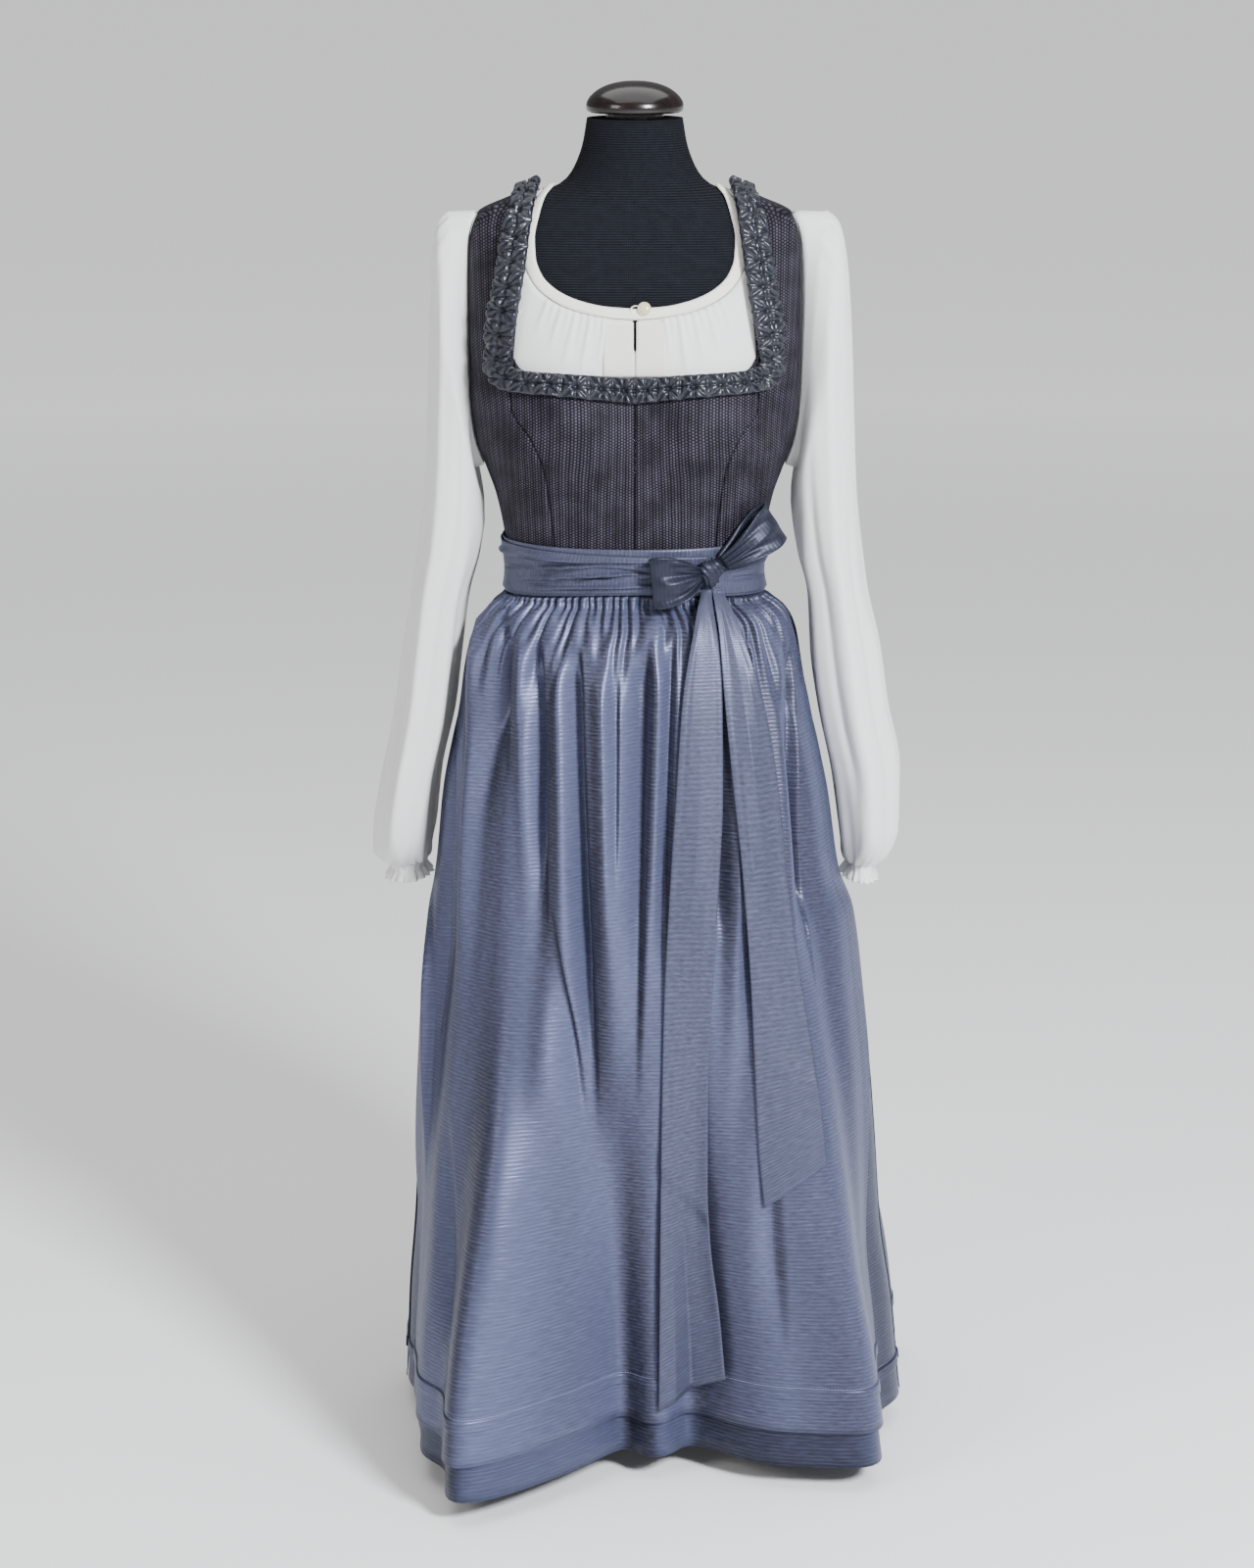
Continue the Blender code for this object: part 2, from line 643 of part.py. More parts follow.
def build_bodice(made):
    inner, outer = side_rows()
    gap = SEAM / 2
    for label, sign in (("left", -1), ("right", 1)):
        for place_name, side in (("front", -1), ("back", 1)):
            panel(f"bodice_side_{place_name}_{label}", inner, outer, 6, side, BODICE_LIFT, BODICE_WALL, made, sign,
                  seam_first=gap)
    count = 8
    edge = (inner[0][:count], inner[1][:count])
    middle_z = np.interp(edge[1], [edge[1][0], edge[1][-1]], [edge[1][0], 1.160])
    middle = (np.zeros(count), middle_z)
    for label, sign in (("left", -1), ("right", 1)):
        panel(f"bodice_front_{label}", middle, edge, 5, -1, BODICE_LIFT, BODICE_WALL, made, sign,
              seam_first=gap, seam_last=gap)
    count = 10
    edge = (inner[0][:count], inner[1][:count])
    panel("bodice_back", (-edge[0], edge[1]), edge, 8, 1, BODICE_LIFT, BODICE_WALL, made,
          seam_first=gap, seam_last=gap)


def ruched(name, table, units, side, made):
    """A run of pinched ruching: each unit is pinched at its middle and stands up between."""
    run = by_row(TRIM_COLUMNS, table)
    per_unit = 2
    along = np.linspace(0, 1, units * per_unit + 1) ** 1.12
    inner_x = run["inner_x"](along)
    inner_z = run["inner_height"](along)
    outer_x = run["outer_x"](along)
    outer_z = run["outer_height"](along)
    inner_x = np.concatenate([-inner_x[:-1], inner_x[::-1]])
    inner_z = np.concatenate([inner_z[:-1], inner_z[::-1]])
    outer_x = np.concatenate([-outer_x[:-1], outer_x[::-1]])
    outer_z = np.concatenate([outer_z[:-1], outer_z[::-1]])
    for edge in (inner_x, outer_x):
        edge[0] = -1.0
        edge[-1] = 1.0
    steps = 3
    phase = np.arange(len(inner_x)) % per_unit
    high = np.where(phase == 0, 0.15, 1.0)
    rise = TRIM_RISE * high[:, None] * np.array([0.25, 1.0, 1.0, 0.25])[None, :]
    rise[0] = 0
    rise[-1] = 0
    panel(name, (inner_x, inner_z), (outer_x, outer_z), steps, side, TRIM_LIFT, TRIM_WALL, made, rise=rise)


def half_run(columns, table, steps):
    run = by_row(columns, table)
    along = np.linspace(0, 1, steps + 1) ** 1.25
    parts = {}
    for name in columns:
        values = run[name](along)
        sign = -1 if name.endswith("x") else 1
        parts[name] = np.concatenate([sign * values[:-1], values[::-1]])
        if sign < 0:
            parts[name][0] = -1.0
            parts[name][-1] = 1.0
    return parts


def build_blouse(made, button_made):
    for label, side, table in (("front", -1, NECK_FRONT), ("back", 1, NECK_BACK)):
        band = half_run(BAND_COLUMNS, table, 15)
        first = (band["inner_x"], band["inner_height"])
        last = (band["outer_x"], band["outer_height"])
        panel(f"blouse_neckband_{label}", first, last, 1, side, NECKBAND_LIFT, NECKBAND_WALL, made)
        edge = half_run(BLOUSE_COLUMNS, BLOUSE_OUTER, 15)
        start = (band["outer_x"], band["outer_height"])
        hole_x = np.sign(edge["x"]) * armhole_x(edge["height"])
        end_x = np.where(edge["height"] > 1.062, hole_x, edge["x"])
        end_x[0] = -1.0
        end_x[-1] = 1.0
        low = (np.abs(edge["height"] - 1.06) < 0.0015) & (np.abs(edge["x"]) > 0.146)
        end_x = np.where(low, np.sign(end_x), end_x)
        end = (end_x, edge["height"])
        panel(f"blouse_{label}", start, end, 7, side, BLOUSE_LIFT, BLOUSE_WALL, made, seam_first=2 * SEAM)
    for label, low_x, high_x in (("left", -0.0300, -0.0006), ("right", 0.0006, 0.0300)):
        rows = np.linspace(1.2135, 1.1690, 5)
        first = (np.full(5, low_x + MIDDLE_X * 0), rows)
        last = (np.full(5, high_x), rows)
        panel(f"blouse_placket_{label}", first, last, 3, -1, BLOUSE_LIFT + BLOUSE_WALL + 0.0007, 0.0008, made)
    centre = on_form(turn_of(0.0095, 1.2265), 1.2265, -1)
    out = outward(centre, -1)
    bpy.ops.mesh.primitive_cylinder_add(vertices=24, radius=0.0068, depth=0.0030, location=(0, 0, 0))
    button = bpy.context.object
    button.name = "blouse_button"
    button.data.name = "blouse_button"
    centre = centre + out * (NECKBAND_LIFT + NECKBAND_WALL + 0.0004 + 0.0015)
    lean = math.acos(max(-1.0, min(1.0, float(out[2]))))
    spin = math.atan2(float(out[1]), float(out[0]))
    button.rotation_euler = (0, lean, spin)
    button.location = tuple(float(v) for v in centre)
    bpy.context.view_layer.update()
    button.data.transform(button.matrix_world)
    button.rotation_euler = (0, 0, 0)
    button.location = (0, 0, 0)
    button.data.materials.append(button_made)
    for face in button.data.polygons:
        face.use_smooth = True
    for group in list(button.users_collection):
        group.objects.unlink(button)
    bpy.data.collections[NAME].objects.link(button)


def armhole_ring(sign, angles, push):
    """Loop round the armhole: 0 degrees at the shoulder tip, 90 front, 180 armpit, 270 back."""
    hole = np.array(ARMHOLE)
    low = hole[0, 0]
    high = hole[-1, 0]
    z = (low + high) / 2 + (high - low) / 2 * np.cos(angles)
    edge = armhole_x(z)
    points = []
    for k, angle in enumerate(angles):
        side = -1 if math.sin(angle) >= 0 else 1
        turn = turn_of(edge[k], z[k])
        if abs(math.sin(angle)) < 0.02:
            turn = 90.0
        p = on_form(np.array(turn), z[k], side, 0.0068)
        p[0] += push
        p[0] *= sign
        points.append(p)
    return np.array(points)


def build_sleeve(label, sign, table, made):
    run = np.array(table)
    angles = np.radians(np.arange(SLEEVE_STEPS) * 360.0 / SLEEVE_STEPS)
    outer = []
    inner = []
    for k, (xi, zi, xo, zo, deep, mid) in enumerate(run):
        for wall, rows in ((0.0, outer), (SLEEVE_WALL, inner)):
            half = np.array([xo - xi, zo - zi]) / 2
            size = np.linalg.norm(half)
            half = half * (size - wall) / size
            ripple = np.zeros(SLEEVE_STEPS)
            if k in (10, 11, 12):
                ripple = np.where(np.arange(SLEEVE_STEPS) % 2 == 0, 1, -1) * (0.0012 if k > 10 else 0.0006)
            if k in (0, 1):
                ripple = np.where(np.arange(SLEEVE_STEPS) % 2 == 0, 1, -1) * 0.0009 * (np.cos(angles) > 0.3)
            along = np.sign(np.cos(angles)) * np.abs(np.cos(angles)) ** 0.9
            around = np.sign(np.sin(angles)) * np.abs(np.sin(angles)) ** 0.9
            x = (xi + xo) / 2 + half[0] * (along + ripple / size)
            z = (zi + zo) / 2 + half[1] * (along + ripple / size)
            y = mid - (deep - wall + ripple) * around
            rows.append(np.stack([sign * x, y, z], axis=-1))
    ring = armhole_ring(sign, angles, 0.0028)
    centre = ring.mean(axis=0)
    pull = ring - centre
    pull[:, 0] = 0
    pull /= np.linalg.norm(pull, axis=1, keepdims=True)
    outer.insert(0, ring)
    inner.insert(0, ring - pull * SLEEVE_WALL)
    shell(f"blouse_sleeve_{label}", outer, inner, made, closed=True)
    xi, zi, xo, zo, deep, mid = run[-1]
    rows_out = []
    rows_in = []
    for drop, grow in ((SEAM, 0.0), (0.008, -0.001), (CUFF_DROP, 0.004)):
        ripple = np.where(np.arange(SLEEVE_STEPS) % 2 == 0, 1, -1) * (0.0010 if drop < CUFF_DROP else 0.0018)
        for wall, rows in ((0.0, rows_out), (SLEEVE_WALL, rows_in)):
            x = (xi + xo) / 2 + ((xo - xi) / 2 + grow - wall + ripple) * np.cos(angles)
            y = mid - (deep + grow - wall + ripple) * np.sin(angles)
            z = (zi + zo) / 2 + (zo - zi) / 2 * np.cos(angles) - drop
            rows.append(np.stack([sign * x, y, z], axis=-1))
    shell(f"blouse_cuff_{label}", rows_out, rows_in, made, closed=True)


def fold_push(angle, z):
    """How far the large folds move the skirt's face out, in metres."""
    push = 0 * angle + 0 * z
    for top, hem, width, reach, starts, fullest, ends in FOLDS:
        share = np.clip((0.93 - z) / 0.90, 0, 1)
        centre = top + (hem - top) * share
        away = (angle - centre + 180) % 360 - 180
        up = np.clip((starts - z) / (starts - fullest), 0, 1)
        down = np.clip((z - ends) / (fullest - ends), 0, 1)
        grown = np.minimum(up, down)
        grown = grown * grown * (3 - 2 * grown)
        push = push + reach * grown * np.exp(-((away / width) ** 2))
    return push


def skirt_face(angle, z, lift, wave=0.0):
    """Point of the skirt's outer face, moved out by lift."""
    angle = np.asarray(angle, float)
    z = np.asarray(z, float) + 0 * angle
    turn = np.radians(angle)
    wide = skirt["half_width"](z)
    deep = np.where(np.cos(turn) > 0, skirt["front"](z), skirt["back"](z))
    n = np.interp(z, [0.90, 0.92], [2.0, 2.2])
    part = np.abs(np.sin(turn))
    rest = np.maximum(1 - part**n, 0) ** (1 / n)
    x = wide * np.sin(turn)
    y = -deep * rest * np.sign(np.cos(turn))
    nx = np.sign(np.sin(turn)) * part ** (n - 1) / wide
    ny = -np.sign(np.cos(turn)) * rest ** (n - 1) / deep
    size = np.hypot(nx, ny)
    push = fold_push(angle, z) + lift + wave
    return np.stack([skirt["middle_x"](z) + x + push * nx / size, y + push * ny / size, z], axis=-1)


def skirt_rows(angles, tops, bottom, lift_at, waves, fine_rows):
    """Rows of a gathered panel, waist to hem; lower rows keep every second column."""
    rows = []
    heights = [tops] + [np.full(len(angles), h) for h in SKIRT_ROWS if h > bottom + 0.02]
    heights.append(np.full(len(angles), bottom))
    wave = np.where(np.arange(len(angles)) % 2 == 0, 1.0, -1.0)
    for k, z in enumerate(heights):
        tall = z if k else np.minimum(z, 0.935)
        row = skirt_face(angles, tall, lift_at(tall), waves * wave * gather["reach"](tall))
        if k > fine_rows:
            row = skirt_face(angles[::2], tall[::2], lift_at(tall[::2]), 0.0)
        rows.append(row)
    return rows


def build_skirt(made):
    front_steps = APRON_LAST + 1
    angles = FRONT_EDGE + np.arange(front_steps + 1) * COARSE_STEP
    seam = math.degrees(SEAM / 2 / 0.135)
    angles[0] += seam
    angles[-1] -= seam
    angles = np.repeat(angles, 1)
    tops = np.full(len(angles), WAIST_SEAM - SEAM)

    def under(z):
        return np.interp(z, [0.90, 0.922, 0.935], [-0.0045, -0.0010, 0.0])

    rows = []
    inner = []
    heights = [tops] + [np.full(len(angles), h) for h in SKIRT_ROWS]
    heights.append(np.full(len(angles), HEM))
    for z in heights:
        rows.append(skirt_face(angles, z, under(z)))
        inner.append(skirt_face(angles, z, under(z) - SKIRT_WALL))
    shell("skirt_front", rows, inner, made)
    back = np.linspace(angles[-1] + 2 * seam, 360 + FRONT_EDGE - seam, 57)
    tops = np.full(len(back), WAIST_SEAM - SEAM)
    outer = skirt_rows(back, tops, HEM, lambda z: under(z) * 0.5, 1.0, FINE_ROWS)
    inside = skirt_rows(back, tops, HEM, lambda z: under(z) * 0.5 - SKIRT_WALL, 1.0, FINE_ROWS)
    shell("skirt_back", outer, inside, made)


def band_low(angle):
    front = np.maximum(np.cos(np.radians(angle)), 0) ** 2
    return BAND_LOW_SIDE + (BAND_LOW_FRONT - BAND_LOW_SIDE) * front


def build_apron(made):
    first = FRONT_EDGE + COARSE_STEP * APRON_FIRST
    last = FRONT_EDGE + COARSE_STEP * APRON_LAST
    angles = np.linspace(first, last, 2 * (APRON_LAST - APRON_FIRST) + 1)
    tops = band_low(angles) - SEAM

    def over(z):
        return np.interp(z, [0.88, 0.902, 0.922, 0.935], [0.0008, 0.0012, 0.0026, 0.0030])

    outer = skirt_rows(angles, tops, APRON_HEM, lambda z: over(z) + APRON_WALL, 1.0, FINE_ROWS)
    inside = skirt_rows(angles, tops, APRON_HEM, over, 1.0, FINE_ROWS)
    shell("apron_panel", outer, inside, made)


def band_ring(angles, low, high, lift, wall, rows, crease):
    outer = []
    inner = []
    for share in np.linspace(1, 0, rows + 1):
        z = low + (high - low) * share
        front = np.cos(np.radians(angles)) >= 0
        turn = np.degrees(np.arcsin(np.clip(np.sin(np.radians(angles)), -1, 1)))
        bulge = crease * math.sin(math.pi * share) * (1 + 0.5 * np.sin(np.radians(angles * 3 + 40)))
        out_row = []
        in_row = []
        for k in range(len(angles)):
            side = -1 if front[k] else 1
            base = on_form(np.array(turn[k]), z[k], side)
            out = outward(base, side)
            in_row.append(base + out * lift)
            out_row.append(base + out * (lift + wall + bulge[k]))
        outer.append(np.array(out_row))
        inner.append(np.array(in_row))
    return outer, inner


def build_sash(made):
    angles = np.arange(BAND_STEPS) * 360.0 / BAND_STEPS
    low = band_low(angles)
    outer, inner = band_ring(angles, low, np.full(BAND_STEPS, BAND_HIGH), BAND_LIFT, BAND_WALL, 2, 0.0)
    shell("apron_band", outer, inner, made, closed=True)
    ends = np.linspace(WRAP_END + 1.0, WRAP_END + 359.0, BAND_STEPS + 1)
    low = band_low(ends) + WRAP_LOW
    high = np.full(len(ends), WRAP_HIGH) - 0.004 * np.sin(np.radians(ends))
    outer, inner = band_ring(ends, low, high, WRAP_LIFT, BAND_WALL, 2, 0.0012)
    shell("apron_tie_wrap", outer, inner, made)


def knot_centre():
    """Middle of the knot, and the level way out from the body there."""
    knot = on_form(turn_of(KNOT_X, KNOT_Z), KNOT_Z, -1)
    out = outward(knot, -1)
    out[2] = 0
    out /= np.linalg.norm(out)
    return knot + out * KNOT_OFF, out


def build_bow(made):
    centre, out = knot_centre()
    side_way = np.array([-out[1], out[0], 0.0])
    if side_way[0] < 0:
        side_way = -side_way
    up = np.array([0.0, 0.0, 1.0])
    bpy.ops.mesh.primitive_uv_sphere_add(segments=14, ring_count=8, radius=1.0)
    ball = bpy.context.object
    ball.name = "apron_knot"
    ball.data.name = "apron_knot"
    for vertex in ball.data.vertices:
        local = vertex.co.copy()
        pinch = 1 - 0.14 * math.cos(3 * math.atan2(local.x, local.z))
        p = centre + side_way * (KNOT_WIDE * local.x * pinch) + up * (KNOT_TALL * local.z * pinch)
        p = p - out * (KNOT_DEEP * local.y)
        vertex.co = tuple(float(v) for v in p)
    ball.data.materials.append(made)
    for face in ball.data.polygons:
        face.use_smooth = True
    for group in list(ball.users_collection):
        group.objects.unlink(ball)
    bpy.data.collections[NAME].objects.link(ball)
    for name, table, turn, root in (("apron_bow_loop_left", LOOP_LEFT, LOOP_LEFT_TURN, LOOP_LEFT_START),
                                    ("apron_bow_loop_right", LOOP_RIGHT, LOOP_RIGHT_TURN, LOOP_RIGHT_START)):
        way = side_way * math.cos(math.radians(turn)) + up * math.sin(math.radians(turn))
        across = -side_way * math.sin(math.radians(turn)) + up * math.cos(math.radians(turn))
        rows = np.array(table)
        start = root - rows[0, 0]
        profile = [(u + start, v, h) for u, h, v in rows]
        tip_u, tip_v, tip_h = profile[-1]
        profile.append((tip_u + 0.0025, 0.0, tip_h))
        profile += [(u + start, -v, h) for u, h, v in rows[::-1]]
        outer = []
        inner = []
        count = len(profile)
        for k, (u, v, h) in enumerate(profile):
            before = profile[max(k - 1, 0)]
            after = profile[min(k + 1, count - 1)]
            du = after[0] - before[0]
            dv = after[1] - before[1]
            size = math.hypot(du, dv)
            nu, nv = dv / size, -du / size
            line_out = []
            line_in = []
            for share in (-1.0, -0.5, 0.0, 0.5, 1.0):
                base = centre + way * u + across * (h * share) + out * v
                shift = way * nu + out * nv
                line_out.append(base)
                line_in.append(base + shift * 0.0012)
            outer.append(np.array(line_out))
            inner.append(np.array(line_in))
        shell(name, outer, inner, made)


def front_envelope(x, z, lift):
    """Depth just in front of the apron at x and height, over whatever fold is nearest."""
    angles = np.linspace(-70, 88, 317)
    best = 0.0
    for dz in (-0.02, 0.0, 0.02):
        face = skirt_face(angles, np.full(len(angles), np.clip(z + dz, APRON_HEM, 0.93)), lift, 0.0)
        near = np.abs(face[:, 0] - x) < 0.016
        best = min(best, float(face[near, 1].min()))
    return best


def build_tails(made):
    for name, table, extra in (("apron_tail_long", TAIL_LONG, 0.0), ("apron_tail_short", TAIL_SHORT, 0.0)):
        run = by_row(TAIL_COLUMNS, table)
        along = np.linspace(0, 1, len(table))
        heights = between(run["left_height"](along), run["right_height"](along), 3)
        across = between(run["left_x"](along), run["right_x"](along), 3)
        depth = np.zeros_like(heights)
        for i in range(heights.shape[0]):
            for j in range(heights.shape[1]):
                z = heights[i, j]
                depth[i, j] = front_envelope(across[i, j], z, 0.0030 + APRON_WALL + 0.0024) - TAIL_OFF - extra
        depth[0] = knot_centre()[0][1] + TAIL_WALL / 2
        for _ in range(2):
            calm = depth.copy()
            calm[1:-1] = np.minimum(depth[1:-1], (depth[:-2] + depth[2:]) / 2)
            depth = calm
        outer = np.stack([across, depth - TAIL_WALL, heights], axis=-1)
        inner = np.stack([across, depth, heights], axis=-1)
        shell(name, outer, inner, made)


def main():
    clear_scene()
    group = bpy.data.collections.new(NAME)
    bpy.context.scene.collection.children.link(group)
    jersey = material("jersey_black", (0.012, 0.012, 0.014), 0.85)
    wood = material("dark_lacquered_wood", (0.016, 0.009, 0.007), 0.25)
    steel = material("stand_metal", (0.05, 0.05, 0.052), 0.4, 0.9)
    crepe = material("blouse_crepe", (0.78, 0.77, 0.73), 0.7)
    pearl = material("pearl_button", (0.70, 0.68, 0.58), 0.25)
    jacquard = material("bodice_jacquard", (0.062, 0.056, 0.080), 0.6)
    satin = material("trim_satin", (0.040, 0.048, 0.075), 0.4)
    taffeta = material("apron_taffeta", (0.090, 0.105, 0.175), 0.42)
    cloth = material("skirt_taffeta", (0.088, 0.100, 0.165), 0.42)
    build_stand(jersey, wood, steel)
    build_blouse(crepe, pearl)
    build_bodice(jacquard)
    ruched("neckline_ruching_front", TRIM_FRONT, TRIM_UNITS_FRONT, -1, satin)
    ruched("neckline_ruching_back", TRIM_BACK, TRIM_UNITS_BACK, 1, satin)
    build_sleeve("left", -1, SLEEVE_LEFT_OF_PICTURE, crepe)
    build_sleeve("right", 1, SLEEVE_RIGHT_OF_PICTURE, crepe)
    build_skirt(cloth)
    build_apron(taffeta)
    build_sash(taffeta)
    build_bow(taffeta)
    build_tails(taffeta)


main()
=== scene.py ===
# %% [markdown]
# A dirndl on a dress form, dressed in Blender.
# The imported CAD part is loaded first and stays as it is. Every cloth piece is then a flat grid whose points
# are moved to where the worn cloth lies, with real thickness, small folds and a woven finish.
# Metres, +Z up, the front faces -Y, and "left" in a name is the left of the picture.

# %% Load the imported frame
import math

import bpy
import numpy as np
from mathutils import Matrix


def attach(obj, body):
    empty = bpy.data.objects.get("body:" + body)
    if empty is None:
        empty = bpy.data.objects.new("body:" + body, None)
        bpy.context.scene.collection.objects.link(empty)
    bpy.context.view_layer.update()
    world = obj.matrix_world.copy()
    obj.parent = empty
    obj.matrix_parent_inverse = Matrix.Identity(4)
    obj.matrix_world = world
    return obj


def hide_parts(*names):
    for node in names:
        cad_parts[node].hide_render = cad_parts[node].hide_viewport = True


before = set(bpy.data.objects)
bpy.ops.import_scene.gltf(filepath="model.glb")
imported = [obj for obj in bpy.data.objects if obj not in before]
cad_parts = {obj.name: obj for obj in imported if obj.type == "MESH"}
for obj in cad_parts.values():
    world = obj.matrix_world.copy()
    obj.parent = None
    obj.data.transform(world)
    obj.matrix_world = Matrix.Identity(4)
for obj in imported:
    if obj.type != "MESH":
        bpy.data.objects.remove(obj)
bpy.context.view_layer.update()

# %% [markdown]
# The camera stands where the photographer stood: four metres in front, a little above the dress form's head,
# looking slightly down. A long lens keeps the upright lines nearly parallel.

# %% Camera
CAMERA_PLACE = (-0.008, -4.0, 1.665)
LOOK_DOWN = 13.4
LENS_MM = 88.9
SENSOR_MM = 36.0

bpy.ops.object.select_all(action="DESELECT")
bpy.ops.object.camera_add(location=CAMERA_PLACE, rotation=(math.radians(90 - LOOK_DOWN), 0, 0))
camera = bpy.context.object
camera.data.sensor_fit = "VERTICAL"
camera.data.sensor_height = SENSOR_MM
camera.data.lens = LENS_MM
bpy.context.scene.camera = camera
print("camera", camera.location[:], LENS_MM, "mm")

# %% [markdown]
# Soft studio light: a cool window-like light on the right, a weaker and warmer one on the left that opens
# the shadows, and a broad one overhead. The floor is so wide that it fills the view.

# %% Lights and floor
LIGHTS = (
    # name, place, size, watts, aims at height, colour
    ("window_light", (1.9, -3.1, 2.7), 0.8, 355.0, 0.85, (0.93, 0.96, 1.0)),
    ("warm_fill", (-2.6, -2.4, 2.3), 1.2, 40.0, 0.9, (1.0, 0.96, 0.91)),
    ("overhead", (0.0, 0.3, 4.6), 5.0, 180.0, 0.0, (1.0, 1.0, 1.0)),
)


def aim(place, height):
    """Turn that points a light from its place at the middle of the dress form."""
    x, y, z = place
    return (math.atan2(math.hypot(x, y), z - height), 0, math.atan2(x, -y))


for name, place, size, watts, height, colour in LIGHTS:
    bpy.ops.object.select_all(action="DESELECT")
    bpy.ops.object.light_add(type="AREA", location=place, rotation=aim(place, height))
    light = bpy.context.object
    light.name = name
    light.data.size = size
    light.data.energy = watts
    light.data.color = colour

world = bpy.data.worlds.new("pale_sky")
world.use_nodes = True
world.node_tree.nodes["Background"].inputs["Color"].default_value = (0.94, 0.97, 1.0, 1)
world.node_tree.nodes["Background"].inputs["Strength"].default_value = 0.2
bpy.context.scene.world = world

FLOOR_SIZE = 160.0
bpy.ops.object.select_all(action="DESELECT")
bpy.ops.mesh.primitive_plane_add(size=FLOOR_SIZE, location=(0, 0, 0))
floor = bpy.context.object
floor.name = "studio_floor"
print("lights", len(LIGHTS))

# %% [markdown]
# Shader maths reads best as sums. A Value wraps one output of a node and knows how to add, take away,
# multiply and divide, and a Finish is one material whose nodes are added a call at a time.


# %% A small language for finishes
class Value:
    """One output of a shader node, which can be used in sums."""

    def __init__(self, finish, socket):
        self.finish = finish
        self.socket = socket

    def math(self, operation, *others):
        values = dict(enumerate((self, *others)))
        return self.finish.node("Math", {"operation": operation}, values)

    def __add__(self, other):
        return self.math("ADD", other)

    def __radd__(self, other):
        return self.math("ADD", other)

    def __sub__(self, other):
        return self.math("SUBTRACT", other)

    def __rsub__(self, other):
        return self.finish.node("Math", {"operation": "SUBTRACT"}, {0: other, 1: self})

    def __mul__(self, other):
        return self.math("MULTIPLY", other)

    def __rmul__(self, other):
        return self.math("MULTIPLY", other)

    def __truediv__(self, other):
        return self.math("DIVIDE", other)

    def __pow__(self, other):
        return self.math("POWER", other)


class Finish:
    """A material: constants go on the shader's sockets, everything else is a node."""

    def __init__(self, name, constants):
        self.material = bpy.data.materials.new(name)
        self.material.use_nodes = True
        self.tree = self.material.node_tree
        self.shader = self.tree.nodes["Principled BSDF"]
        for socket, value in constants.items():
            self.shader.inputs[socket].default_value = value

    def node(self, kind, settings, values, output=0):
        made = self.tree.nodes.new("ShaderNode" + kind)
        for key, value in settings.items():
            if key == "stops":
                for stop, (place, colour) in zip(made.color_ramp.elements, value):
                    stop.position = place
                    stop.color = colour
            else:
                setattr(made, key, value)
        for key, value in values.items():
            if isinstance(value, Value):
                self.tree.links.new(value.socket, made.inputs[key])
            else:
                made.inputs[key].default_value = value
        return Value(self, made.outputs[output])

    def sheet_place(self):
        """Metres across and down the flat cloth, as one vector."""
        return self.node("UVMap", {"uv_map": "UVMap"}, {})

    def part(self, place, axis):
        """One number of a place: 0 is across the cloth and 1 is down it."""
        return self.node("SeparateXYZ", {}, {0: place}, axis)

    def stretched(self, place, sizes):
        return self.node("VectorMath", {"operation": "MULTIPLY"}, {0: place, 1: sizes})

    def noise(self, place, scale, detail=2.0):
        return self.node("TexNoise", {}, {"Vector": place, "Scale": scale, "Detail": detail})

    def blend(self, share, first, second):
        """Colour between two colours."""
        return self.node("Mix", {"data_type": "RGBA"}, {0: share, 6: first, 7: second}, 2)

    def clamp(self, value):
        return self.node("Clamp", {}, {0: value})

    def feed(self, socket, value):
        self.tree.links.new(value.socket, self.shader.inputs[socket])

    def bump(self, height, distance, strength=1.0):
        made = self.node("Bump", {}, {"Height": height, "Distance": distance, "Strength": strength})
        self.feed("Normal", made)


def tone(red, green, blue):
    """A colour as it looks on screen, 0 to 255, as the shader wants it."""
    made = []
    for part in (red, green, blue):
        part = part / 255
        made.append(part / 12.92 if part <= 0.04045 else ((part + 0.055) / 1.055) ** 2.4)
    return (*made, 1)


# %% [markdown]
# The skirt, apron and ties are taffeta: a stiff plain weave with a blue warp over a brown-grey weft, and with
# a fine rib that runs across the cloth. Its shimmer between the two tones is painted shade and highlight: the
# cloth is coloured darker and browner where a fold faces left and lighter and bluer where it faces right.

# %% Taffeta
RIB_PITCH = 0.0040
THREAD_SCALE = 900.0
# How strongly the painted fold shade lightens and darkens the taffeta's colour.
FOLD_PAINTED_SHADE = 0.62


def taffeta(name, light, dark, rib_depth, metal, level):
    cloth = Finish(name, {"Roughness": 0.4, "Sheen Weight": 0.04, "Sheen Roughness": 0.4,
                          "Sheen Tint": tone(180, 192, 235), "Specular IOR Level": level,
                          "Specular Tint": tone(215, 220, 245), "Metallic": metal})
    flat = cloth.sheet_place()
    down = cloth.part(flat, 1)
    drift = cloth.noise(flat, 7.0, 3.0)
    slub = cloth.noise(cloth.stretched(flat, (90.0, 620.0, 1.0)), 1.0, 3.0)
    broken = cloth.noise(cloth.stretched(flat, (55.0, 180.0, 1.0)), 1.0, 2.0)
    thread = cloth.noise(flat, THREAD_SCALE, 1.0)
    phase = down * (2 * math.pi / RIB_PITCH) + drift * 4.0 + broken * 3.0
    rib = (phase.math("SINE") * 0.5 + 0.5) * cloth.clamp(broken * 1.8 - 0.3)
    # The lean attribute carries painted shade and highlight: lighter and bluer where the cloth faces right,
    # darker and browner where it faces left.
    lean = cloth.node("Attribute", {"attribute_name": "lean"}, {}, 2)
    weave_and_painted_light = cloth.clamp(0.14 + rib * 0.30 + slub * 0.62 - thread * 0.20 + lean * FOLD_PAINTED_SHADE)
    cloth.feed("Base Color", cloth.blend(weave_and_painted_light, dark, light))
    cloth.feed("Roughness", 0.46 - rib * 0.08 - slub * 0.06)
    cloth.bump(rib * 0.8 + thread * 0.3 + slub * 0.3, rib_depth)
    return cloth.material


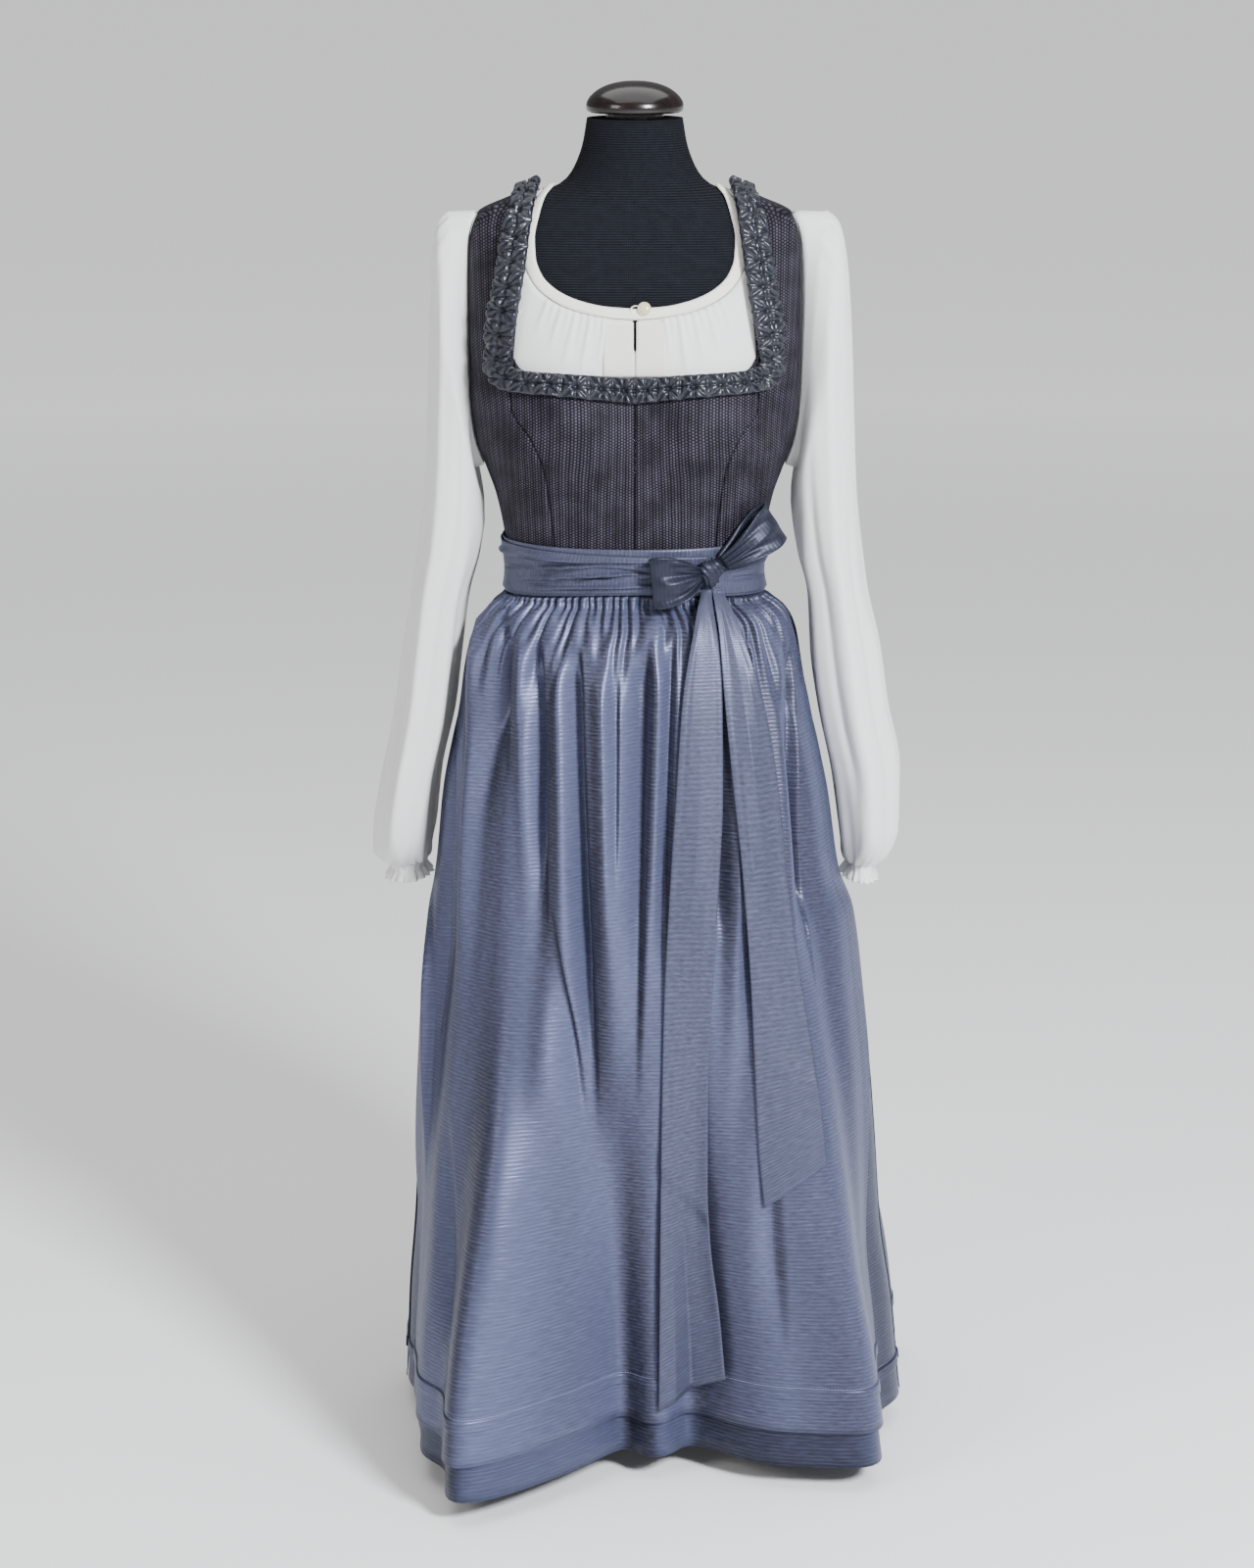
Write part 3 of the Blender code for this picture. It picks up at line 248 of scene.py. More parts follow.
apron_taffeta = taffeta("apron_taffeta", tone(96, 101, 133), tone(34, 31, 35), 0.00020, 0.3, 0.5)
# The skirt's taffeta is a darker copy of the apron's, painted shade for the same cloth under and beside the
# apron.
skirt_taffeta = taffeta("skirt_taffeta", tone(76, 81, 108), tone(26, 24, 29), 0.00020, 0.12, 0.25)
# The bow's taffeta is a darker copy of the tie's, painted shade for the knot and loops.
bow_taffeta_painted_shade = taffeta("bow_taffeta_painted_shade", tone(44, 46, 61), tone(14, 14, 19), 0.00012, 0.12, 0.35)
tie_taffeta = taffeta("tie_taffeta", tone(94, 98, 124), tone(31, 30, 36), 0.00012, 0.2, 0.4)
print("taffeta", apron_taffeta.name, skirt_taffeta.name, tie_taffeta.name)

# %% [markdown]
# The bodice is a jacquard: upright columns of short raised dashes, each column half a dash lower than the
# last. Two waves, one across and one down, give the dashes. Their lighter colour is partly the weave's
# pattern and partly a painted highlight on their raised tops, and a slow noise paints a stronger glint on
# some of them.

# %% Jacquard
COLUMN_WIDTH = 0.0031
COLUMNS_IN_STRIPE = 3.0
DASH_HEIGHT = 0.0029


def jacquard(name):
    cloth = Finish(name, {"Roughness": 0.6, "Specular IOR Level": 0.12})
    flat = cloth.sheet_place()
    across = cloth.part(flat, 0)
    down = cloth.part(flat, 1)
    wander = cloth.noise(flat, 60.0, 2.0)
    column = across / COLUMN_WIDTH + wander * 0.35
    which = column.math("FLOOR")
    shift = which.math("MODULO", 2.0).math("ABSOLUTE") * 0.5
    dash = (down / DASH_HEIGHT + shift + wander * 0.7).math("FRACT")
    high = (column.math("FRACT") * math.pi).math("SINE") * (dash * math.pi).math("SINE")
    stripe = (column / COLUMNS_IN_STRIPE).math("FRACT")
    face = (stripe * math.pi).math("SINE") * 0.6 + 0.4
    # Some dashes get a painted glint, a highlight painted into the colour.
    painted_glint = cloth.clamp(cloth.noise(flat, 34.0, 3.0) * 2.8 - 0.95)
    thread = cloth.noise(flat, 1100.0, 1.0)
    # The colour share holds the dash pattern, a painted highlight on the raised dashes and the painted
    # glints.
    weave_and_painted_light = cloth.clamp(high ** 1.4 * face * (0.60 + painted_glint * 0.85) + thread * 0.16 - 0.10)
    cloth.feed("Base Color", cloth.blend(weave_and_painted_light, tone(6, 5, 8), tone(80, 75, 90)))
    cloth.feed("Roughness", 0.74 - high * 0.2)
    cloth.bump(high * face + thread * 0.25, 0.00045)
    return cloth.material


bodice_jacquard = jacquard("bodice_jacquard")
print("jacquard", bodice_jacquard.name)

# %% [markdown]
# The blouse is a cream-white crepe with a dull, slightly pebbled face, the trim is a dark slate satin, and
# the form wears black jersey whose courses show as fine level lines.

# %% Crepe, satin and jersey


def crepe(name, colour, shade):
    cloth = Finish(name, {"Roughness": 0.72, "Sheen Weight": 0.15, "Specular IOR Level": 0.25,
                          "Subsurface Weight": 0.4, "Subsurface Radius": (1.0, 1.0, 1.0),
                          "Subsurface Scale": 0.006})
    flat = cloth.sheet_place()
    pebble = cloth.noise(flat, 1500.0, 2.0)
    slow = cloth.noise(flat, 26.0, 2.0)
    share = cloth.clamp(pebble * 0.6 + slow * 0.35 - 0.1)
    cloth.feed("Base Color", cloth.blend(share, shade, colour))
    cloth.feed("Roughness", 0.66 + pebble * 0.14)
    cloth.bump(pebble, 0.00016)
    return cloth.material


def satin(name):
    cloth = Finish(name, {"Roughness": 0.3, "Specular IOR Level": 0.5})
    flat = cloth.sheet_place()
    thread = cloth.noise(cloth.stretched(flat, (1500.0, 400.0, 1.0)), 1.0, 2.0)
    cloth.feed("Base Color", cloth.blend(thread, tone(8, 9, 14), tone(31, 35, 48)))
    cloth.feed("Roughness", 0.25 + thread * 0.12)
    cloth.bump(thread, 0.00005)
    return cloth.material


COURSE_PITCH = 0.0032
WALE_PITCH = 0.0016


def jersey(name):
    cloth = Finish(name, {"Roughness": 0.85, "Specular IOR Level": 0.1})
    flat = cloth.sheet_place()
    across = cloth.part(flat, 0)
    down = cloth.part(flat, 1)
    wander = cloth.noise(flat, 90.0, 2.0)
    course = (down * (2 * math.pi / COURSE_PITCH) + wander * 2.5).math("SINE") * 0.5 + 0.5
    wale = (across * (2 * math.pi / WALE_PITCH) + wander * 2.5).math("SINE") * 0.5 + 0.5
    knit = course * 0.7 + wale * 0.3
    share = cloth.clamp(knit * (0.35 + wander * 0.7))
    cloth.feed("Base Color", cloth.blend(share, tone(3, 4, 6), tone(36, 39, 46)))
    cloth.feed("Roughness", 0.92 - knit * 0.12)
    cloth.bump(knit, 0.0005)
    return cloth.material


blouse_crepe = crepe("blouse_crepe", tone(247, 246, 241), tone(228, 230, 230))
band_crepe = crepe("neckband_crepe", tone(250, 247, 238), tone(236, 232, 222))
trim_satin = satin("trim_satin")
form_jersey = jersey("form_jersey")
print("crepe, satin, jersey")

# %% [markdown]
# Hard parts and threads: a dark lacquered wooden cap with a faint grain under a clear coat, a pearly button,
# black piping, the pale thread of the tucks, a dark painted foot and pole, and the pale floor.

# %% Wood, pearl, thread, paint, floor


def lacquered_wood(name):
    wood = Finish(name, {"Roughness": 0.3, "Coat Weight": 0.35, "Coat Roughness": 0.12,
                         "Specular IOR Level": 0.35})
    place = wood.node("TexCoord", {}, {}, 3)
    grain = wood.noise(wood.stretched(place, (18.0, 160.0, 18.0)), 1.0, 4.0)
    share = wood.clamp(grain * 1.4 - 0.3)
    wood.feed("Base Color", wood.blend(share, tone(10, 7, 7), tone(34, 22, 20)))
    wood.feed("Roughness", 0.20 + grain * 0.12)
    wood.bump(grain, 0.00006)
    return wood.material


def plain_finish(name, light, dark, scale, rough, depth, more):
    """A finish of one colour with a fine grain in colour, gloss and height."""
    made = Finish(name, more)
    place = made.node("TexCoord", {}, {}, 3)
    grain = made.noise(place, scale, 3.0)
    made.feed("Base Color", made.blend(grain, dark, light))
    made.feed("Roughness", rough - 0.05 + grain * 0.1)
    made.bump(grain, depth)
    return made.material


def pale_floor(name):
    """A pale floor that stays as bright far away, where the lamps don't reach."""
    paint = Finish(name, {"Base Color": tone(250, 250, 251), "Roughness": 0.8, "Specular IOR Level": 0.2,
                          "Emission Strength": 0.68})
    place = paint.node("TexCoord", {}, {}, 3)
    away = paint.node("VectorMath", {"operation": "LENGTH"}, {0: place}, 1)
    share = paint.clamp((away - 1.2) / 7.0)
    paint.feed("Emission Color", paint.blend(share, (0.05, 0.05, 0.05, 1), (1, 1, 1, 1)))
    return paint.material


cap_wood = lacquered_wood("cap_wood")
pearl = plain_finish("pearl", tone(222, 217, 180), tone(176, 170, 130), 300.0, 0.16, 0.00002,
                     {"Coat Weight": 0.6, "Specular IOR Level": 0.6})
black_thread = plain_finish("black_thread", tone(30, 30, 36), tone(12, 12, 15), 1400.0, 0.7, 0.0001, {})
pale_thread = plain_finish("pale_thread", tone(150, 160, 190), tone(110, 118, 148), 2400.0, 0.55, 0.00005, {})
stand_paint = plain_finish("stand_paint", tone(52, 52, 56), tone(34, 34, 38), 500.0, 0.42, 0.00005,
                           {"Metallic": 0.6})
floor.data.materials.append(pale_floor("floor_paint"))
for node, finish in (("form_pole", stand_paint), ("form_foot", stand_paint), ("form_neck_plate", cap_wood)):
    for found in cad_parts[node].material_slots:
        found.material = finish
print("hard finishes", cap_wood.name, pearl.name, black_thread.name, pale_thread.name, stand_paint.name)

# %% [markdown]
# The part's shape comes from the same short tables as its solids: sections of the body from hip to neck, and
# sections of the skirt from waist to hem. A curve through a table's rows never overshoots them.

# %% Sections of the form
EASE = 0.0030
FORM_COLUMNS = ("height", "half_width", "front", "back", "squareness")
FORM = (
    (0.740, 0.150, 0.104, 0.118, 2.2),
    (0.800, 0.155, 0.110, 0.128, 2.2),
    (0.872, 0.145, 0.104, 0.116, 2.2),
    (0.945, 0.1265, 0.096, 0.094, 2.2),
    (0.985, 0.1310, 0.100, 0.094, 2.2),
    (1.027, 0.1395, 0.107, 0.097, 2.3),
    (1.060, 0.1510, 0.112, 0.100, 2.4),
    (1.090, 0.1620, 0.115, 0.102, 2.6),
    (1.130, 0.1675, 0.114, 0.105, 2.7),
    (1.200, 0.1695, 0.108, 0.108, 2.7),
    (1.250, 0.1700, 0.096, 0.103, 2.7),
    (1.285, 0.1690, 0.082, 0.093, 2.7),
    (1.300, 0.1655, 0.076, 0.086, 2.7),
    (1.310, 0.1590, 0.072, 0.080, 2.6),
    (1.322, 0.1330, 0.067, 0.073, 2.5),
    (1.335, 0.1000, 0.062, 0.066, 2.3),
    (1.347, 0.0760, 0.058, 0.060, 2.1),
    (1.362, 0.0620, 0.054, 0.055, 2.0),
    (1.385, 0.0535, 0.051, 0.052, 2.0),
    (1.411, 0.0490, 0.049, 0.050, 2.0),
)
BUST_X = 0.074
BUST_Z = 1.108
BUST_OUT = 0.022
BUST_WIDE = 0.052
BUST_TALL = 0.060


def smooth(xs, ys):
    """A curve through the rows of a table that never overshoots them."""
    xs = np.asarray(xs, float)
    ys = np.asarray(ys, float)
    step = np.diff(xs)
    slope = np.diff(ys) / step
    tangent = np.empty(len(xs))
    tangent[0] = slope[0]
    tangent[-1] = slope[-1]
    same = slope[:-1] * slope[1:] > 0
    middle = np.zeros(len(xs) - 2)
    middle[same] = 2 * slope[:-1][same] * slope[1:][same] / (slope[:-1][same] + slope[1:][same])
    tangent[1:-1] = middle

    def at(x):
        x = np.clip(np.asarray(x, float), xs[0], xs[-1])
        i = np.clip(np.searchsorted(xs, x) - 1, 0, len(xs) - 2)
        t = (x - xs[i]) / step[i]
        rise = ys[i] * (2 * t**3 - 3 * t**2 + 1) + ys[i + 1] * (3 * t**2 - 2 * t**3)
        return rise + step[i] * (tangent[i] * (t**3 - 2 * t**2 + t) + tangent[i + 1] * (t**3 - t**2))

    return at


def ease_in(t):
    t = np.clip(t, 0, 1)
    return t * t * (3 - 2 * t)


def by_first(columns, rows):
    """Each further column of a table as a smooth function of its first."""
    table = np.array(sorted(rows))
    return {name: smooth(table[:, 0], table[:, k]) for k, name in enumerate(columns) if k}


def by_row(columns, rows):
    """Each column of a table as a smooth function of the row number, 0 to 1."""
    table = np.array(rows)
    along = np.linspace(0, 1, len(rows))
    return {name: smooth(along, table[:, k]) for k, name in enumerate(columns)}


form = by_first(FORM_COLUMNS, [(z, w - EASE * (z < 1.35), f - EASE, b - EASE, n) for z, w, f, b, n in FORM])


def half_depth(x, z, side):
    """Depth of the form's section at its middle, with the bust on the front."""
    bump = np.exp(-(((x - BUST_X) / BUST_WIDE) ** 2)) + np.exp(-(((x + BUST_X) / BUST_WIDE) ** 2))
    front = form["front"](z) + BUST_OUT * bump * np.exp(-(((z - BUST_Z) / BUST_TALL) ** 2))
    return np.where(side > 0, form["back"](z), front)


def swell(p, side):
    n = form["squareness"](p[..., 2])
    wide = np.abs(p[..., 0]) / form["half_width"](p[..., 2])
    deep = np.abs(p[..., 1]) / half_depth(p[..., 0], p[..., 2], side)
    return wide**n + deep**n


def outward(p, side):
    """Unit normal of the form's face at points on it."""
    lean = np.zeros_like(p)
    for axis in range(3):
        move = np.zeros(3)
        move[axis] = 0.0004
        lean[..., axis] = swell(p + move, side) - swell(p - move, side)
    return lean / np.linalg.norm(lean, axis=-1, keepdims=True)


def on_form(turn, z, side, lift=0.0):
    """Points on the form: turn is -90..90 degrees from the middle, side -1 the front and +1 the back."""
    turn = np.radians(np.clip(turn, -90, 90))
    z = np.asarray(z, float) + 0 * turn
    side = np.asarray(side) + 0 * turn
    n = form["squareness"](z)
    part = np.abs(np.sin(turn))
    x = form["half_width"](z) * part * np.sign(np.sin(turn))
    y = side * half_depth(x, z, side) * np.maximum(1 - part**n, 0) ** (1 / n)
    p = np.stack([x, y, z], axis=-1)
    return p + outward(p, side) * np.asarray(lift + 0 * z)[..., None]


def turn_of(x, z):
    """How far round from the middle the form's face is at this x and height."""
    return np.degrees(np.arcsin(np.clip(x / (form["half_width"](z) + EASE), -1, 1)))


def round_form(angle, z, lift=0.0):
    """Points right round the form: 0 degrees is the centre front, plus is the picture's right."""
    turn = np.degrees(np.arcsin(np.clip(np.sin(np.radians(angle)), -1, 1)))
    side = np.where(np.cos(np.radians(angle)) >= 0, -1.0, 1.0)
    return on_form(turn, z, side, lift)


print("form half width at the waist", round(float(form["half_width"](0.945)), 4))

# %% [markdown]
# One helper makes every sheet: Blender's flat grid, whose points are moved to rows of places, top row first.
# Its UV map is rewritten in metres of flat cloth, so a weave keeps its size on every piece. A second helper
# gives the sheet its wall with a Solidify modifier.


# %% Sheets from flat grids
def measure(points):
    """Longest row, longest column and area of a grid of places."""
    across = np.linalg.norm(np.diff(points, axis=1), axis=2)
    down = np.linalg.norm(np.diff(points, axis=0), axis=2)
    area = (across[:-1] + across[1:]) / 2 * (down[:, :-1] + down[:, 1:]) / 2
    return float(across.sum(axis=1).max()), float(down.sum(axis=0).max()), float(area.sum())


def surface(name, points, closed=False, flat=None, inside_out=False):
    """A grid with its points moved to rows of places. flat gives metres across and down for each point."""
    points = np.asarray(points, float)
    if inside_out:
        points = points[:, ::-1]
    rows, columns = points.shape[:2]
    bpy.ops.object.select_all(action="DESELECT")
    bpy.ops.mesh.primitive_grid_add(x_subdivisions=columns - 1, y_subdivisions=rows - 1, size=2)
    piece = bpy.context.object
    piece.name = name
    piece.data.name = name
    piece.data.vertices.foreach_set("co", points[::-1].reshape(-1).astype(np.float32))
    if flat is None:
        wide, long, _ = measure(points)
        flat = np.stack(np.meshgrid(np.linspace(0, wide, columns), np.linspace(0, long, rows)), axis=-1)
    elif inside_out:
        flat = flat[:, ::-1]
    corners = np.empty(len(piece.data.loops), np.int32)
    piece.data.loops.foreach_get("vertex_index", corners)
    layer = piece.data.uv_layers[0]
    layer.name = "UVMap"
    layer.data.foreach_set("uv", flat[::-1].reshape(-1, 2)[corners].reshape(-1).astype(np.float32))
    if closed:
        bpy.ops.object.mode_set(mode="EDIT")
        bpy.ops.mesh.select_all(action="SELECT")
        bpy.ops.mesh.remove_doubles(threshold=0.00002)
        bpy.ops.object.mode_set(mode="OBJECT")
    piece.data.update()
    bpy.ops.object.shade_smooth()
    return piece


def thicken(piece, wall):
    """Gives a sheet its thickness, inwards from its face."""
    bpy.ops.object.select_all(action="DESELECT")
    piece.select_set(True)
    bpy.context.view_layer.objects.active = piece
    solidify = piece.modifiers.new("wall", "SOLIDIFY")
    solidify.thickness = wall
    solidify.offset = -1
    bpy.ops.object.modifier_apply(modifier="wall")
    return piece


# %% [markdown]
# Painted shade and highlight on the taffeta: it is coloured lighter and bluer where the cloth faces right and
# darker and browner where it faces left, as a light from the right would show shot silk. Each point keeps how
# far the cloth turns there against its own wider form, and the taffeta reads that number as an attribute, so
# the painted tones stay on the folds from every side. A small share goes by the side that the cloth faces as
# a whole, a painted light on the side that faces right.

# %% Painted fold shade on the taffeta
TURN_SOFTNESS = 0.5
# The share of painted light that goes by the side the cloth faces as a whole.
FACING_PAINTED_LIGHT = 0.12


def paint_fold_shade(piece, places, window):
    """Keeps on each point how far the cloth turns to the right there, against its own wider form, for the
    painted fold shade.
    """
    step = np.gradient(places[..., :2], axis=1)
    turned_by = np.unwrap(np.arctan2(step[..., 1], step[..., 0]), axis=1)
    padded = np.pad(turned_by, ((0, 0), (window, window)), mode="edge")
    even = np.ones(2 * window + 1) / (2 * window + 1)
    wide = np.array([np.convolve(row, even, "valid") for row in padded])
    lean = TURN_SOFTNESS * np.tanh((turned_by - wide) / TURN_SOFTNESS) + FACING_PAINTED_LIGHT * np.sin(wide)
    layer = piece.data.attributes.new("lean", "FLOAT", "POINT")
    layer.data.foreach_set("value", lean[::-1].reshape(-1).astype(np.float32))
    print(piece.name, "leans from and to", np.round(np.percentile(lean, [5, 95]), 2))


# %% [markdown]
# Every piece is given its finish and the body that carries it, and the solids that it stands for are hidden.

# %% Dressing a piece
def dress(piece, material, nodes=()):
    """Gives a piece its finish and its body, and hides the solids that it stands for."""
    piece.data.materials.clear()
    piece.data.materials.append(material)
    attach(piece, "root")
    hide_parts(*nodes)
    return piece


def between(first, last, shares):
    """Rows of numbers that run from one edge to the other."""
    return np.asarray(first)[:, None] * (1 - shares) + np.asarray(last)[:, None] * shares


print("sheet helpers ready")

# %% [markdown]
# The dress form itself: a smooth limbless body under jersey. It could be kept as its solid, but its neck and
# chest show close up, so it is made again with more sections, and drawn in to a point at both ends so that
# it stays closed.

# %% Torso and cap
FORM_BOTTOM = 0.745
NECK_TOP = 1.411
TORSO_COLUMNS = 120
TORSO_ROWS = 110


def under_cloth(z):
    """How far the form lies inside its tables, so that the layers over it have room."""
    return np.interp(z, [1.15, 1.25, 1.30, 1.34], [-0.0090, -0.0010, -0.0003, 0.0])


def build_torso():
    heights = np.linspace(NECK_TOP, FORM_BOTTOM, TORSO_ROWS)
    angles = np.linspace(0, 360, TORSO_COLUMNS + 1)
    grid_angles, grid_heights = np.meshgrid(angles, heights)
    body = round_form(grid_angles, grid_heights, under_cloth(grid_heights))
    body[0, :, 2] = NECK_TOP
    body[-1, :, 2] = FORM_BOTTOM
    ends = []
    for row in (body[0], body[-1]):
        middle = row[:-1].mean(axis=0)
        ends.append([middle + (row - middle) * share for share in (0.0, 0.5, 0.96)])
    rows = ends[0] + list(body) + ends[1][::-1]
    return surface("form_jersey_torso", np.array(rows), closed=True)


torso = dress(build_torso(), form_jersey, ["form_torso"])

CAP_SHAPE = (
    # radius, height, from the crown down
    (0.0000, 1.4480),
    (0.0090, 1.4477),
    (0.0180, 1.4465),
    (0.0270, 1.4442),
    (0.0350, 1.4408),
    (0.0420, 1.4360),
    (0.0468, 1.4310),
    (0.0493, 1.4262),
    (0.0499, 1.4225),
    (0.0494, 1.4192),
    (0.0478, 1.4172),
    (0.0450, 1.4164),
    (0.0380, 1.4162),
    (0.0000, 1.4161),
)
CAP_STEPS = 4


def turned(name, shape, steps, around=96):
    """A turned piece: its outline from the axis out and back, carried once round."""
    run = by_row(("radius", "height"), shape)
    along = np.linspace(0, 1, (len(shape) - 1) * steps + 1)
    turns = np.radians(np.linspace(0, 360, around + 1))
    radius = run["radius"](along)[:, None]
    height = run["height"](along)[:, None]
    points = np.stack([radius * np.sin(turns), -radius * np.cos(turns), height + 0 * turns], axis=-1)
    return surface(name, points, closed=True)


cap = dress(turned("form_turned_cap", CAP_SHAPE, CAP_STEPS), cap_wood, ["form_cap"])
print("torso", len(torso.data.polygons), "cap", len(cap.data.polygons))

# %% [markdown]
# A panel is the cloth between two edges that are drawn on the form. The bodice is cut with princess lines:
# two centre fronts that meet at a hooked edge, side fronts and side backs that carry the straps, and one
# centre back. Each seam is a real gap, with the cloth rolling in beside it.

# %% Bodice tables
SEAM = 0.0004
BODICE_LIFT = 0.0064
BODICE_WALL = 0.0012
BODICE_OUT = 0.0016
SEAM_ROLL = 0.0016
SEAM_ROLL_WIDE = 0.0022
SIDE_SEAM_TURN = 89.5
ARMHOLE_COLUMNS = ("height", "share_of_half_width")
ARMHOLE = (
    (1.0600, 0.995),
    (1.0850, 0.985),
    (1.1200, 0.978),
    (1.1700, 0.975),
    (1.2100, 0.974),
    (1.2550, 0.974),
    (1.2800, 0.975),
    (1.2950, 0.977),
    (1.3020, 0.980),
    (1.3065, 0.985),
    (1.3090, 0.990),
    (1.3100, 0.995),
)
SIDE_BELOW = (
    # inner x, inner height, outer height
    (0.0785, 0.9354, 0.9354),
    (0.0800, 0.9620, 0.9600),
    (0.0820, 0.9906, 0.9880),
    (0.0860, 1.0300, 1.0250),
)
SIDE_ABOVE = (
    # inner x, inner height beside each armhole row
    (0.0905, 1.0660),
    (0.1040, 1.1000),
    (0.1235, 1.1307),
    (0.1215, 1.1760),
    (0.1190, 1.2100),
    (0.1125, 1.2600),
    (0.1080, 1.2900),
    (0.1045, 1.3100),
    (0.1025, 1.3220),
    (0.1012, 1.3295),
    (0.1003, 1.3338),
    (0.1000, 1.3350),
)
FRONT_TOP = 1.160
FRONT_TOP_ROW = 7
BACK_TOP_ROW = 9
FINE = 6
armhole = by_first(ARMHOLE_COLUMNS, ARMHOLE)


def armhole_x(z):
    return armhole["share_of_half_width"](z) * (form["half_width"](z) + EASE)


def finer(values, steps=FINE):
    along = np.arange(len(values))
    return smooth(along, values)(np.linspace(0, len(values) - 1, (len(values) - 1) * steps + 1))


def side_edges():
    """Inner and outer edge of a side panel, waist to shoulder, as x and height."""
    below = np.array(SIDE_BELOW)
    above = np.array(SIDE_ABOVE)
    hole = np.array(ARMHOLE)
    inner = (np.concatenate([below[:, 0], above[:, 0]]), np.concatenate([below[:, 1], above[:, 1]]))
    outer_x = np.concatenate([np.full(len(below), 1.0), armhole_x(hole[:, 0])])
    outer_x[len(below)] = 1.0
    outer_x[-1] = 1.0
    outer = (outer_x, np.concatenate([below[:, 2], hole[:, 0]]))
    return inner, outer


def around_from_middle(turns, heights, side):
    """Metres round the form from the middle, for the flat pattern."""
    ladder = np.linspace(0, 90, 46)
    lengths = np.zeros_like(turns)
    for k in range(turns.shape[0]):
        line = on_form(ladder, heights[k].mean(), side)
        run = np.concatenate([[0], np.cumsum(np.linalg.norm(np.diff(line, axis=0), axis=1))])
        lengths[k] = np.sign(turns[k]) * np.interp(np.abs(turns[k]), ladder, run)
    return lengths


def panel(first, last, across, side, lift, sign=1, seam_first=0.0, seam_last=0.0, rise=0.0, roll=0.0,
          bow=None):
    """Places of the cloth between two edges, each (x, height) by row, and their flat metres."""
    shares = np.linspace(0, 1, across + 1)
    power = 1.0 if bow is None else bow[:, None]
    start = first[1][:, None]
    climb = last[1][:, None] - start
    turns = between(turn_of(first[0], first[1]), turn_of(last[0], last[1]), shares)
    base = on_form(turns, start + climb * shares**power, side)
    long = np.linalg.norm(np.diff(base, axis=1), axis=2).sum(axis=1)
    share = between(seam_first / long, 1 - seam_last / long * (turns[:, -1] < SIDE_SEAM_TURN), shares)
    turns = turns[:, :1] + (turns[:, -1:] - turns[:, :1]) * share
    heights = start + climb * share**power
    base = on_form(turns, heights, side)
    base[..., 1] += np.where(np.abs(turns) > SIDE_SEAM_TURN, side * SEAM / 2, 0)
    flat = np.stack([sign * around_from_middle(turns, heights, side), heights[:1, :1] - heights], axis=-1)
    base[..., 0] *= sign
    out = outward(base, side)
    from_first = share * long[:, None] / SEAM_ROLL_WIDE
    from_last = long[:, None] / SEAM_ROLL_WIDE - from_first
    height = lift - roll * (np.exp(-(from_first**2)) + np.exp(-(from_last**2))) + rise
    return base + out * height[..., None], flat


def facing_in(points):
    """Whether a grid's faces point towards the upright line through the middle of the form."""
    corner = points[1:-1, 1:-1]
    normal = np.cross(points[1:-1, 2:] - corner, corner - points[2:, 1:-1])
    return float((normal * corner)[..., :2].sum()) < 0


# %% [markdown]
# The front and back are cut from the same two edges; only the depth of the form differs.

# %% Bodice panels
def finish_sheet(piece, material, nodes):
    """Gives a finished sheet its finish and its body, and hides the solids that it stands for."""
    dress(piece, material, nodes)
    return piece


def bodice_piece(node, first, last, across, side, sign=1, seam_last=0.0, bow=None):
    """One piece of the bodice, from the edge nearer the middle to the outer one."""
    places, flat = panel(first, last, across, side, BODICE_LIFT + BODICE_OUT, sign, SEAM / 2, seam_last,
                         roll=SEAM_ROLL, bow=bow)
    piece = surface(node + "_cloth", places, flat=flat, inside_out=facing_in(places))
    thicken(piece, BODICE_WALL)
    finish_sheet(piece, bodice_jacquard, [node])


def build_bodice():
    inner, outer = [(finer(x), finer(height)) for x, height in side_edges()]
    for label, sign in (("left", -1), ("right", 1)):
        for place, side in (("front", -1), ("back", 1)):
            bodice_piece(f"bodice_side_{place}_{label}", inner, outer, 36, side, sign)
    count = FRONT_TOP_ROW * FINE + 1
    edge = (inner[0][:count], inner[1][:count])
    middle_z = np.interp(edge[1], [edge[1][0], edge[1][-1]], [edge[1][0], FRONT_TOP])
    bow = 1 + 11 * ease_in((np.arange(count) / (count - 1) - 0.5) / 0.5)
    for label, sign in (("left", -1), ("right", 1)):
        bodice_piece(f"bodice_front_{label}", (np.zeros(count), middle_z), edge, 48, -1, sign, SEAM / 2, bow)
    count = BACK_TOP_ROW * FINE + 1
    edge = (inner[0][:count], inner[1][:count])
    bodice_piece("bodice_back", (-edge[0], edge[1]), edge, 80, 1, 1, SEAM / 2)


build_bodice()

# %% [markdown]
# The neckline's ruching is the showpiece: a satin strip pleated and pinched at regular points, so each pinch
# becomes a star of little facets. It is one strip whose height follows the star's rays, repeated along the
# run by its real length, from one shoulder round the neckline to the other.

